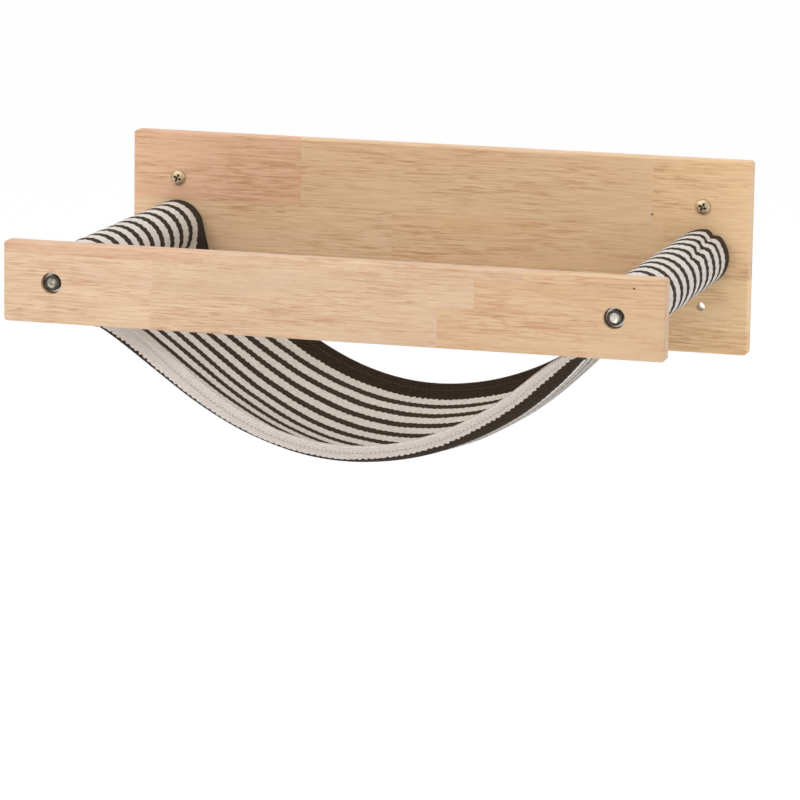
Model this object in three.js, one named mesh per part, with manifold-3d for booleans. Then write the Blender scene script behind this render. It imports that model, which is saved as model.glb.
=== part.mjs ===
// Wall-mounted cat hammock: a back board, a front rail, two round rods bolted between them
// and a striped canvas whose ends are sewn into sleeves round the rods.
// Millimetres. +X runs along the board, +Z is up, the wall is the plane y = 0 and the rail
// faces -Y. The origin is the centre of the board's back face.
import * as THREE from "three";
import { mergeVertices } from "three/addons/utils/BufferGeometryUtils.js";
import Module from "manifold-3d";

const wasm = await Module();
wasm.setup();

// ---------------------------------------------------------------- driving dimensions
const LENGTH = 550; // board and rail, end to end
const DEPTH = 340; // wall to the rail's front face
const BOARD_HEIGHT = 166;
const BOARD_THICKNESS = 15;
const RAIL_HEIGHT = 66;
const RAIL_THICKNESS = 15;
const CORNER_RADIUS = 3; // corners of the board and the rail, seen from the front
const EDGE_EASE = 1.5; // sanded edge all round both faces
const ROD_DIAMETER = 42;
const ROD_INSET = 41; // board end to rod axis
const ROD_END_EASE = 0.8;
const SEAT = 0.3; // gap between pieces that bear on each other

const SCREW_HOLE_DIAMETER = 7.5;
const SCREW_HOLE_INSET = 40; // board's top or bottom edge to the hole's axis
const COUNTERBORE_DIAMETER = 17.5;
const COUNTERBORE_DEPTH = 9;
const BOLT_HOLE_CLEARANCE = 1; // on the diameter, where the bolt goes through wood

const BOLT_DIAMETER = 8;
const BOLT_LENGTH = 30; // under the head
const BOLT_HEAD_DIAMETER = 13;
const BOLT_HEAD_HEIGHT = 5;
const BOLT_HEAD_EASE = 0.9;
const BOLT_SOCKET_ACROSS = 6; // across the flats
const BOLT_SOCKET_DEPTH = 3.2;
const BOLT_SOCKET_FLARE = 0.5; // chamfer at the socket's mouth
const BOLT_TIP_EASE = 1.2;
const WASHER_DIAMETER = 16.5;
const WASHER_THICKNESS = 1.5;
const WASHER_EASE = 0.25;

const INSERT_DIAMETER = 13;
const INSERT_LENGTH = 20;
const INSERT_FLANGE_DIAMETER = 16;
const INSERT_FLANGE_THICKNESS = 1.5;
const INSERT_DRIVE_ACROSS = 10; // hexagon that the fitting key turns
const INSERT_DRIVE_DEPTH = 5;
const INSERT_TIP_EASE = 1.5;
const INSERT_BORE_SPARE = 7; // depth of the rod's bore behind the insert

const SCREW_DIAMETER = 5;
const SCREW_LENGTH = 50; // under the head
const SCREW_POINT_LENGTH = 7;
const SCREW_HEAD_DIAMETER = 13;
const SCREW_HEAD_HEIGHT = 3.4;
const SCREW_HEAD_RIM = 0.8; // straight part of the head's side
const SCREW_RECESS_SPAN = 8;
const SCREW_RECESS_FLOOR = 3.6; // span of the cross at its floor
const SCREW_RECESS_WIDTH = 1.5;
const SCREW_RECESS_DEPTH = 2.3;
const SCREW_RECESS_TURN = 25; // degrees

const CANVAS_THICKNESS = 2;
const CANVAS_END_GAP = 1; // canvas edge to the board and to the rail
const SLEEVE_CLEARANCE = 1; // rod to the inside of the sleeve
const SEAM_REACH = 14; // rod surface to the seam that closes the sleeve
const SEAM_ANGLE_LEFT = 78; // degrees below level, from the rod inwards
const SEAM_ANGLE_RIGHT = 54;
const PANEL_SAG = 106; // depth of the trough below the line of the two seams
const PANEL_EASE_LEFT = 0.64; // the loaded trough is flatter at its left end
const PANEL_EASE_RIGHT = 0.39; // and fuller at its right end
const PANEL_EASE_POWER = 6;
const BELLY_SAG = 16; // further drop between the front and the rear edge
const LIP_ROUNDING = 3; // softness of the turn at the foot of each lip
const LIP_FADE_POWER = 12; // even: how close to the seams the lips die out
// The free edges of the panel stand up as lips. tilt is the lip's angle to the level in
// degrees, width its length along the cloth, at the left seam, the middle and the right seam.
const FRONT_LIP = { tilt: [103, 55, 53], width: [18.7, 18.5, 24] };
const REAR_LIP = { tilt: [62, 58, 62], width: [16, 16, 16] };

// ---------------------------------------------------------------- facet counts
const ROD_SEGMENTS = 48;
const HARDWARE_SEGMENTS = 32;
const HOLE_SEGMENTS = 32;
const CORNER_SEGMENTS = 4;
const EASE_SEGMENTS = 2;
const SCREW_DOME_SEGMENTS = 5;
const PANEL_SEGMENTS = 18;
const BELLY_SEGMENTS = 5; // along the rods, between the two lips
const SLEEVE_FLAP_SEGMENTS = 2;
const SLEEVE_ARC_SEGMENTS = 12;

// ---------------------------------------------------------------- working distances
const OVERSHOOT = 1; // how far a cutting tool starts outside the face it enters
const WELD_DISTANCE = 1e-4; // points nearer than this are one corner
const SLOPE_STEP = 1e-3; // of the trough's outline, for its slope
const NORMAL_STEP_ACROSS = 0.01; // of a surface's first parameter, for its normal
const NORMAL_STEP_ALONG = 0.5; // millimetres along the cloth, for its normal

// ---------------------------------------------------------------- derived places
const ROD_X = LENGTH / 2 - ROD_INSET;
const ROD_RADIUS = ROD_DIAMETER / 2;
const SCREW_Z = BOARD_HEIGHT / 2 - SCREW_HOLE_INSET;
const ROD_REAR_Y = -(BOARD_THICKNESS + SEAT);
const ROD_FRONT_Y = -(DEPTH - RAIL_THICKNESS - SEAT);
const WASHER_Y = COUNTERBORE_DEPTH - SEAT - WASHER_THICKNESS;
const BOLT_HEAD_Y = WASHER_Y - SEAT - BOLT_HEAD_HEIGHT;
const BOLT_PASSAGE = BOLT_DIAMETER + 2 * SEAT; // bore of the washer and of the insert
const SLEEVE_RADIUS = ROD_RADIUS + SLEEVE_CLEARANCE + CANVAS_THICKNESS / 2;
const CANVAS_FRONT_Y = -(DEPTH - RAIL_THICKNESS - CANVAS_END_GAP);
const CANVAS_REAR_Y = -(BOARD_THICKNESS + CANVAS_END_GAP);
const CANVAS_WIDTH = CANVAS_REAR_Y - CANVAS_FRONT_Y;

// ---------------------------------------------------------------- finishes
const oiled = { roughness: 0.55, metalness: 0 };
const BOARD_WOOD = new THREE.MeshStandardMaterial({ color: 0xd9b48c, ...oiled });
const RAIL_WOOD = new THREE.MeshStandardMaterial({ color: 0xe2bd92, ...oiled });
const ROD_WOOD = new THREE.MeshStandardMaterial({ color: 0xddb88e, ...oiled });
const NICKEL = new THREE.MeshStandardMaterial({ color: 0x8f8880, roughness: 0.25, metalness: 1 });
const ZINC = new THREE.MeshStandardMaterial({ color: 0xb9b7b0, roughness: 0.4, metalness: 1 });
const YELLOW_ZINC = new THREE.MeshStandardMaterial({ color: 0xc9b27c, roughness: 0.35, metalness: 1 });
const CANVAS = new THREE.MeshStandardMaterial({ color: 0xd8d2c8, roughness: 0.95, metalness: 0 });

// ---------------------------------------------------------------- solid helpers
function solidOf(geometry) {
  const bare = geometry.clone();
  bare.deleteAttribute("normal");
  bare.deleteAttribute("uv");
  const merged = mergeVertices(bare, WELD_DISTANCE);
  const mesh = new wasm.Mesh({
    numProp: 3,
    vertProperties: new Float32Array(merged.attributes.position.array),
    triVerts: new Uint32Array(merged.index.array),
  });
  return new wasm.Manifold(mesh);
}

function geometryOf(solid) {
  const { vertProperties, triVerts } = solid.getMesh();
  const geometry = new THREE.BufferGeometry();
  geometry.setAttribute("position", new THREE.BufferAttribute(new Float32Array(vertProperties), 3));
  geometry.setIndex(new THREE.BufferAttribute(new Uint32Array(triVerts), 1));
  const flat = geometry.toNonIndexed();
  flat.computeVertexNormals();
  return flat;
}

function cut(geometry, tools) {
  const solid = tools.reduce((body, tool) => body.subtract(solidOf(tool)), solidOf(geometry));
  return geometryOf(solid);
}

// A body turned about the Y axis from [radius, y] pairs.
function turned(profile, segments) {
  const points = profile.map(([radius, y]) => new THREE.Vector2(radius, y));
  return new THREE.LatheGeometry(points, segments);
}

// A round drill along Y from y0 to y1.
function drill(diameter, y0, y1) {
  const r = diameter / 2;
  return turned([[0, y0], [r, y0], [r, y1], [0, y1]], HOLE_SEGMENTS);
}

// A hexagonal broach along Y.
function hexBroach(acrossFlats, y0, y1) {
  const corner = acrossFlats / Math.sqrt(3);
  const broach = new THREE.CylinderGeometry(corner, corner, y1 - y0, 6);
  return broach.translate(0, (y0 + y1) / 2, 0);
}

function named(name, geometry, material) {
  const mesh = new THREE.Mesh(geometry, material);
  mesh.name = name;
  return mesh;
}

// ---------------------------------------------------------------- board and rail
// A flat board with round corners and eased edges: its back face lies on y = 0.
function easedBoard(length, height, thickness) {
  const [x, y] = [length / 2 - EDGE_EASE, height / 2 - EDGE_EASE];
  const r = CORNER_RADIUS - EDGE_EASE;
  const outline = new THREE.Shape();
  outline.moveTo(-x + r, -y);
  outline.lineTo(x - r, -y);
  outline.absarc(x - r, -y + r, r, -Math.PI / 2, 0, false);
  outline.absarc(x - r, y - r, r, 0, Math.PI / 2, false);
  outline.absarc(-x + r, y - r, r, Math.PI / 2, Math.PI, false);
  outline.absarc(-x + r, -y + r, r, Math.PI, Math.PI * 1.5, false);
  const board = new THREE.ExtrudeGeometry(outline, {
    depth: thickness - 2 * EDGE_EASE,
    bevelThickness: EDGE_EASE,
    bevelSize: EDGE_EASE,
    bevelSegments: EASE_SEGMENTS,
    curveSegments: CORNER_SEGMENTS,
  });
  return board.translate(0, 0, EDGE_EASE).rotateX(Math.PI / 2);
}

// The stepped hole of one bolt, with its mouth on y = 0 and running along +Y.
function boltHole(thickness) {
  const wide = COUNTERBORE_DIAMETER / 2;
  const narrow = (BOLT_DIAMETER + BOLT_HOLE_CLEARANCE) / 2;
  const profile = [
    [0, -OVERSHOOT],
    [wide, -OVERSHOOT],
    [wide, COUNTERBORE_DEPTH],
    [narrow, COUNTERBORE_DEPTH],
    [narrow, thickness + OVERSHOOT],
    [0, thickness + OVERSHOOT],
  ];
  return turned(profile, HOLE_SEGMENTS);
}

function backBoard() {
  const tools = [];
  for (const side of [-1, 1]) {
    tools.push(boltHole(BOARD_THICKNESS).rotateZ(Math.PI).translate(side * ROD_X, 0, 0));
    for (const level of [-1, 1]) {
      const hole = drill(SCREW_HOLE_DIAMETER, -BOARD_THICKNESS - OVERSHOOT, OVERSHOOT);
      tools.push(hole.translate(side * ROD_X, 0, level * SCREW_Z));
    }
  }
  return cut(easedBoard(LENGTH, BOARD_HEIGHT, BOARD_THICKNESS), tools);
}

function frontRail() {
  const rail = easedBoard(LENGTH, RAIL_HEIGHT, RAIL_THICKNESS).translate(0, RAIL_THICKNESS - DEPTH, 0);
  const holes = [-1, 1].map((side) => boltHole(RAIL_THICKNESS).translate(side * ROD_X, -DEPTH, 0));
  return cut(rail, holes);
}

// ---------------------------------------------------------------- rods
// A round rod along Y with a stepped bore for a threaded insert in each end.
function rod() {
  const bore = INSERT_DIAMETER / 2 + SEAT;
  const recess = INSERT_FLANGE_DIAMETER / 2 + SEAT;
  const recessDepth = INSERT_FLANGE_THICKNESS + SEAT;
  const boreDepth = INSERT_LENGTH + INSERT_BORE_SPARE;
  const end = (y, inwards) => [
    [0, y + inwards * boreDepth],
    [bore, y + inwards * boreDepth],
    [bore, y + inwards * recessDepth],
    [recess, y + inwards * recessDepth],
    [recess, y],
    [ROD_RADIUS - ROD_END_EASE, y],
    [ROD_RADIUS, y + inwards * ROD_END_EASE],
  ];
  return turned([...end(ROD_FRONT_Y, 1), ...end(ROD_REAR_Y, -1).reverse()], ROD_SEGMENTS);
}

// ---------------------------------------------------------------- bolt, washer and insert
// Each is made about the Y axis with y = 0 on the face of the wood and +Y into the wood.
function bolt() {
  const shank = BOLT_DIAMETER / 2;
  const head = BOLT_HEAD_DIAMETER / 2;
  const under = BOLT_HEAD_Y + BOLT_HEAD_HEIGHT;
  const tip = under + BOLT_LENGTH;
  const roundMiddle = BOLT_HEAD_EASE * (1 - Math.SQRT1_2); // half way round the head's edge
  const profile = [
    [0, BOLT_HEAD_Y],
    [head - BOLT_HEAD_EASE, BOLT_HEAD_Y],
    [head - roundMiddle, BOLT_HEAD_Y + roundMiddle],
    [head, BOLT_HEAD_Y + BOLT_HEAD_EASE],
    [head, under],
    [shank, under],
    [shank, tip - BOLT_TIP_EASE],
    [shank - BOLT_TIP_EASE, tip],
    [0, tip],
  ];
  const outside = BOLT_HEAD_Y - OVERSHOOT;
  const corner = BOLT_SOCKET_ACROSS / Math.sqrt(3);
  const flareProfile = [
    [0, outside],
    [corner + BOLT_SOCKET_FLARE + OVERSHOOT, outside],
    [corner, BOLT_HEAD_Y + BOLT_SOCKET_FLARE],
    [0, BOLT_HEAD_Y + BOLT_SOCKET_FLARE],
  ];
  const socket = hexBroach(BOLT_SOCKET_ACROSS, outside, BOLT_HEAD_Y + BOLT_SOCKET_DEPTH);
  return cut(turned(profile, HARDWARE_SEGMENTS), [turned(flareProfile, HARDWARE_SEGMENTS), socket]);
}

function washer() {
  const [inner, outer] = [BOLT_PASSAGE / 2, WASHER_DIAMETER / 2];
  const [near, far] = [WASHER_Y, WASHER_Y + WASHER_THICKNESS];
  const profile = [
    [inner, near],
    [outer - WASHER_EASE, near],
    [outer, near + WASHER_EASE],
    [outer, far],
    [inner, far],
    [inner, near],
  ];
  return turned(profile, HARDWARE_SEGMENTS);
}

// The insert's flange lies flush with the end of the rod, which is one board and one seat in.
function insert(boardThickness) {
  const bore = BOLT_PASSAGE / 2;
  const barrel = INSERT_DIAMETER / 2;
  const flange = INSERT_FLANGE_DIAMETER / 2;
  const face = boardThickness + SEAT;
  const end = face + INSERT_LENGTH;
  const profile = [
    [bore, face],
    [flange, face],
    [flange, face + INSERT_FLANGE_THICKNESS],
    [barrel, face + INSERT_FLANGE_THICKNESS],
    [barrel, end - INSERT_TIP_EASE],
    [barrel - INSERT_TIP_EASE, end],
    [bore, end],
    [bore, face],
  ];
  return cut(turned(profile, HARDWARE_SEGMENTS), [
    hexBroach(INSERT_DRIVE_ACROSS, face - OVERSHOOT, face + INSERT_DRIVE_DEPTH),
  ]);
}

// ---------------------------------------------------------------- wall screw
// y = 0 is the front face of the back board and +Y runs into the wall.
function wallScrew() {
  const head = SCREW_HEAD_DIAMETER / 2;
  const shank = SCREW_DIAMETER / 2;
  const dome = SCREW_HEAD_HEIGHT - SCREW_HEAD_RIM;
  const rimY = -SEAT - SCREW_HEAD_RIM;
  const domePoints = range(SCREW_DOME_SEGMENTS + 1).map((i) => {
    const angle = ((i / SCREW_DOME_SEGMENTS) * Math.PI) / 2;
    return [head * Math.sin(angle), rimY - dome * Math.cos(angle)];
  });
  const profile = [
    ...domePoints,
    [head, -SEAT],
    [shank, -SEAT],
    [shank, SCREW_LENGTH - SCREW_POINT_LENGTH],
    [0, SCREW_LENGTH],
  ];
  const top = -SEAT - SCREW_HEAD_HEIGHT;
  const blades = [0, 90].map((turn) =>
    recessBlade(top).rotateY(THREE.MathUtils.degToRad(turn + SCREW_RECESS_TURN)),
  );
  return cut(turned(profile, HARDWARE_SEGMENTS), blades);
}

// One arm pair of the cross recess: a wedge that narrows to the recess floor.
function recessBlade(top) {
  const [wide, floor] = [SCREW_RECESS_SPAN / 2, SCREW_RECESS_FLOOR / 2];
  const outline = new THREE.Shape();
  outline.moveTo(-wide - OVERSHOOT, top - OVERSHOOT);
  outline.lineTo(wide + OVERSHOOT, top - OVERSHOOT);
  outline.lineTo(floor, top + SCREW_RECESS_DEPTH);
  outline.lineTo(-floor, top + SCREW_RECESS_DEPTH);
  outline.closePath();
  const blade = new THREE.ExtrudeGeometry(outline, {
    depth: SCREW_RECESS_WIDTH,
    bevelEnabled: false,
  });
  return blade.translate(0, 0, -SCREW_RECESS_WIDTH / 2);
}

// ---------------------------------------------------------------- canvas
// The middle surface of the cloth is a function of across (0 at the left seam, 1 at the right
// seam) and along (distance from the front edge, measured on the cloth).
function threePoint([first, middle, last], t) {
  return first * (1 - t) * (1 - 2 * t) + 4 * middle * t * (1 - t) + last * t * (2 * t - 1);
}

// A parabola that is 0 at t = 0, 1 half way and 0 at t = 1.
function arch(t) {
  return 4 * t * (1 - t);
}

function softRamp(distance) {
  return (distance + Math.hypot(distance, LIP_ROUNDING)) / 2;
}

// How far a lip lifts the cloth and how far it draws the free edge back, at one place.
function lipShift(lip, across, fromEdge) {
  const tilt = THREE.MathUtils.degToRad(threePoint(lip.tilt, across));
  const fade = 1 - (1 - 2 * across) ** LIP_FADE_POWER;
  const ramp = fade * softRamp(threePoint(lip.width, across) - fromEdge);
  return { lift: Math.sin(tilt) * ramp, draw: (1 - Math.cos(tilt)) * ramp };
}

function seamRest(side) {
  const angle = THREE.MathUtils.degToRad(side < 0 ? SEAM_ANGLE_LEFT : SEAM_ANGLE_RIGHT);
  const reach = ROD_RADIUS + SEAM_REACH;
  return new THREE.Vector2(side * (ROD_X - reach * Math.cos(angle)), -reach * Math.sin(angle));
}

// The trough's outline in the plane across the rods, as x and z.
function troughPoint(across) {
  const chord = seamRest(-1).lerp(seamRest(1), across);
  const left = PANEL_EASE_LEFT * (1 - across) ** PANEL_EASE_POWER;
  const right = PANEL_EASE_RIGHT * across ** PANEL_EASE_POWER;
  chord.y -= PANEL_SAG * arch(across) * (1 - left + right);
  return chord;
}

function panelPoint(across, along) {
  const place = troughPoint(across);
  const tangent = troughPoint(across + SLOPE_STEP).sub(troughPoint(across - SLOPE_STEP)).normalize();
  const up = new THREE.Vector2(-tangent.y, tangent.x);
  const front = lipShift(FRONT_LIP, across, along);
  const rear = lipShift(REAR_LIP, across, CANVAS_WIDTH - along);
  place.addScaledVector(up, front.lift + rear.lift);
  place.y -= BELLY_SAG * arch(across) * Math.sin((Math.PI * along) / CANVAS_WIDTH) ** 2;
  return new THREE.Vector3(place.x, CANVAS_FRONT_Y + along + front.draw - rear.draw, place.y);
}

const SLEEVE_END = 3;

// One sleeve: round runs from the seam along the lower flap (0 to 1), round the rod (1 to 2)
// and down the upper flap back to the seam (2 to 3).
function sleevePoint(side, round, along) {
  const seam = panelPoint(side < 0 ? 0 : 1, along);
  const y = CANVAS_FRONT_Y + along;
  const [dx, dz] = [side * (seam.x - side * ROD_X), seam.z];
  const spread = Math.acos(SLEEVE_RADIUS / Math.hypot(dx, dz));
  const towards = Math.atan2(dz, dx);
  const lower = towards + spread;
  const upper = towards - spread + 2 * Math.PI;
  const onRod = (angle) =>
    new THREE.Vector3(
      side * (ROD_X + SLEEVE_RADIUS * Math.cos(angle)),
      y,
      SLEEVE_RADIUS * Math.sin(angle),
    );
  if (round <= 1) return seam.lerp(onRod(lower), round);
  if (round >= 2) return onRod(upper).lerp(seam, round - 2);
  return onRod(THREE.MathUtils.lerp(lower, upper, round - 1));
}

// Unit normal of a surface given as place(u, along), by differences kept between u = 0 and
// u = uHigh and on the cloth.
function normalOf(place, u, along, uHigh) {
  const [u0, u1] = [Math.max(0, u - NORMAL_STEP_ACROSS), Math.min(uHigh, u + NORMAL_STEP_ACROSS)];
  const du = place(u1, along).sub(place(u0, along));
  const near = Math.max(0, along - NORMAL_STEP_ALONG);
  const far = Math.min(CANVAS_WIDTH, along + NORMAL_STEP_ALONG);
  const dv = place(u, far).sub(place(u, near));
  return du.cross(dv).normalize();
}

// A corner where two sheets meet: the offset that clears both faces by half the thickness.
function mitre(point, normalA, normalB) {
  const middle = normalA.clone().add(normalB).normalize();
  const reach = CANVAS_THICKNESS / 2 / middle.dot(normalA);
  return point.clone().addScaledVector(middle, reach);
}

function range(count) {
  return [...Array(count).keys()];
}

// The stops along a sleeve: its two flaps and the arc round the rod, without the seam itself.
const SLEEVE_STOPS = [
  ...range(SLEEVE_FLAP_SEGMENTS).map((i) => i / SLEEVE_FLAP_SEGMENTS),
  ...range(SLEEVE_ARC_SEGMENTS).map((i) => 1 + i / SLEEVE_ARC_SEGMENTS),
  ...range(SLEEVE_FLAP_SEGMENTS).map((i) => 2 + i / SLEEVE_FLAP_SEGMENTS),
].slice(1);

// All the points of the cloth's cross-section at one distance from the front edge: the outer
// outline, counter-clockwise from the front, then the clockwise outline round each rod.
function canvasSection(along) {
  const half = CANVAS_THICKNESS / 2;
  const panelNormal = (t) => normalOf(panelPoint, t, along, 1);
  const sleeveOf = (side) => (round, v) => sleevePoint(side, round, v);
  const sleeveNormal = (side, round) =>
    normalOf(sleeveOf(side), round, along, SLEEVE_END).multiplyScalar(-side);
  const seamNormals = (side) => {
    const t = side < 0 ? 0 : 1;
    const [lower, upper] = [sleeveNormal(side, 0), sleeveNormal(side, SLEEVE_END)];
    return { panel: panelNormal(t), lower, upper };
  };
  const outerSleeve = (side) =>
    SLEEVE_STOPS.map((round) =>
      sleevePoint(side, round, along).addScaledVector(sleeveNormal(side, round), half),
    );
  const innerSleeve = (side) =>
    SLEEVE_STOPS.map((round) =>
      sleevePoint(side, round, along).addScaledVector(sleeveNormal(side, round), -half),
    );
  const inside = range(PANEL_SEGMENTS - 1).map((i) => (i + 1) / PANEL_SEGMENTS);
  const face = (sign) =>
    inside.map((t) => panelPoint(t, along).addScaledVector(panelNormal(t), sign * half));
  const under = (side) => {
    const { panel, lower } = seamNormals(side);
    return mitre(panelPoint(side < 0 ? 0 : 1, along), panel.negate(), lower);
  };
  const over = (side) => {
    const { panel, upper } = seamNormals(side);
    return mitre(panelPoint(side < 0 ? 0 : 1, along), panel, upper);
  };
  const apex = (side) => {
    const { lower, upper } = seamNormals(side);
    return mitre(panelPoint(side < 0 ? 0 : 1, along), lower.negate(), upper.negate());
  };
  const outer = [
    under(-1),
    ...face(-1),
    under(1),
    ...outerSleeve(1),
    over(1),
    ...face(1).reverse(),
    over(-1),
    ...outerSleeve(-1).reverse(),
  ];
  const rightHole = [apex(1), ...innerSleeve(1)].reverse();
  const leftHole = [apex(-1), ...innerSleeve(-1)];
  return [outer, rightHole, leftHole];
}

// Distances from the front edge at which the cloth is cut into sections: close together
// where a lip stands and turns, wide apart over the belly.
function sectionStops() {
  const narrow = Math.min(...FRONT_LIP.width);
  const wide = Math.max(...FRONT_LIP.width);
  const rearTurn = CANVAS_WIDTH - Math.max(...REAR_LIP.width);
  const front = [0, narrow - LIP_ROUNDING, (narrow + wide) / 2, wide, wide + 2 * LIP_ROUNDING];
  const rear = [rearTurn - 2 * LIP_ROUNDING, rearTurn + LIP_ROUNDING, CANVAS_WIDTH];
  const [from, to] = [front.at(-1), rear[0]];
  const belly = range(BELLY_SEGMENTS).map((i) => from + (i / BELLY_SEGMENTS) * (to - from));
  return [...front, ...belly.slice(1), ...rear];
}

function hammockCanvas() {
  const sections = sectionStops().map(canvasSection);
  const positions = sections.flat(2).flatMap((p) => [p.x, p.y, p.z]);
  const loops = sections[0].map((loop) => loop.length);
  const perSection = loops.reduce((sum, count) => sum + count, 0);
  const index = [];
  for (const k of range(sections.length - 1)) {
    let base = k * perSection;
    for (const count of loops) {
      for (const i of range(count)) {
        const [a, b] = [base + i, base + ((i + 1) % count)];
        const [d, c] = [a + perSection, b + perSection];
        index.push(a, d, c, a, c, b);
      }
      base += count;
    }
  }
  // Both end faces share the triangles of a section away from the lips.
  const flat = canvasSection(CANVAS_WIDTH / 2).map((loop) => loop.map((p) => new THREE.Vector2(p.x, p.z)));
  const last = (sections.length - 1) * perSection;
  for (const [a, b, c] of THREE.ShapeUtils.triangulateShape(flat[0], flat.slice(1))) {
    index.push(a, b, c);
    index.push(last + a, last + c, last + b);
  }
  const geometry = new THREE.BufferGeometry();
  geometry.setAttribute("position", new THREE.Float32BufferAttribute(positions, 3));
  geometry.setIndex(index);
  geometry.computeVertexNormals();
  return geometry;
}

// ---------------------------------------------------------------- assembly
const SIDES = { left: -1, right: 1 };

// The bolt, washer and insert of one rod end, with y = 0 on the outer face of the wood.
function rodFixing(end, thickness) {
  const fixing = new THREE.Group();
  fixing.add(named(`bolt_${end}`, bolt(), NICKEL));
  fixing.add(named(`washer_${end}`, washer(), ZINC));
  fixing.add(named(`insert_${end}`, insert(thickness), ZINC));
  return fixing;
}

const hammock = new THREE.Group();
hammock.add(named("back_board", backBoard(), BOARD_WOOD));
hammock.add(named("front_rail", frontRail(), RAIL_WOOD));
for (const [name, side] of Object.entries(SIDES)) {
  const dowel = named(`dowel_${name}`, rod(), ROD_WOOD);
  dowel.position.x = side * ROD_X;
  hammock.add(dowel);

  const frontFixing = rodFixing(`${name}_front`, RAIL_THICKNESS);
  frontFixing.position.set(side * ROD_X, -DEPTH, 0);
  hammock.add(frontFixing);

  const rearFixing = rodFixing(`${name}_rear`, BOARD_THICKNESS);
  rearFixing.position.set(side * ROD_X, 0, 0);
  rearFixing.rotation.z = Math.PI;
  hammock.add(rearFixing);

  const screw = named(`wall_screw_${name}`, wallScrew(), YELLOW_ZINC);
  screw.position.set(side * ROD_X, -BOARD_THICKNESS, SCREW_Z);
  hammock.add(screw);
}
hammock.add(named("hammock_canvas", hammockCanvas(), CANVAS));

export default hammock;
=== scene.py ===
"""Wall-mounted cat hammock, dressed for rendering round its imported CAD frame.

The back board, the front rail, the rods, the washers and the inserts keep their CAD shapes and
get wood and metal finishes. The striped canvas, the bolts and the wall screws are rebuilt here
with hems, stitches, folds and threads, and stand for their CAD nodes.
Metres. +X runs along the board, +Z is up, the wall is the plane y = 0, the rail faces -Y.
"""

import logging
import math
from bisect import bisect_right
from dataclasses import dataclass
from enum import Enum
from functools import cached_property
from typing import Iterable, Sequence

import bmesh
import bpy
from mathutils import Matrix, Vector, noise


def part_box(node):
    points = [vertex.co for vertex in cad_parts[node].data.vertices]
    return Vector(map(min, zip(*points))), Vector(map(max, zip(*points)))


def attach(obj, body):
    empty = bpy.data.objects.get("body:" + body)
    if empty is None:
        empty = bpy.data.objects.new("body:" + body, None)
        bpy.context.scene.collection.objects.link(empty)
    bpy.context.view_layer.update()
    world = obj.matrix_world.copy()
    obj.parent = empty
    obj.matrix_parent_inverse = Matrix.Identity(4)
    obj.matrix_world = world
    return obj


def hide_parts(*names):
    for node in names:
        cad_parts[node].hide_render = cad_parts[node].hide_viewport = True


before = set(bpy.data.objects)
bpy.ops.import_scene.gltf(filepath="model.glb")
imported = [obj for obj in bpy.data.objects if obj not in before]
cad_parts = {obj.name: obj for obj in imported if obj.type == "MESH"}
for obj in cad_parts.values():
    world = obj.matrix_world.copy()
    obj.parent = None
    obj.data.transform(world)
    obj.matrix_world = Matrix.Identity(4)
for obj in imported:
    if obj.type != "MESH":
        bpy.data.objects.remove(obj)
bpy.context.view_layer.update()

MM = 0.001
SECOND_FINISH = 1
BODY = "root"
LOG = logging.getLogger("hammock")


class Side(Enum):
    """The two ends of the hammock, with the sign of their X."""

    LEFT = -1
    RIGHT = 1


class End(Enum):
    """The two ends of a rod, with the direction in which a bolt goes in, along Y."""

    FRONT = 1
    REAR = -1


# ------------------------------------------------------------------ shader bench


def paint(code: str) -> tuple[float, float, float, float]:
    """Turns a screen colour into the linear colour that a shader takes.

    Args:
        code: six hexadecimal digits after a hash sign.

    Returns:
        Linear red, green, blue and an alpha of one.
    """
    parts = [int(code[i : i + 2], 16) / 255 for i in (1, 3, 5)]
    linear = [p / 12.92 if p <= 0.04045 else ((p + 0.055) / 1.055) ** 2.4 for p in parts]
    return (*linear, 1.0)


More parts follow.
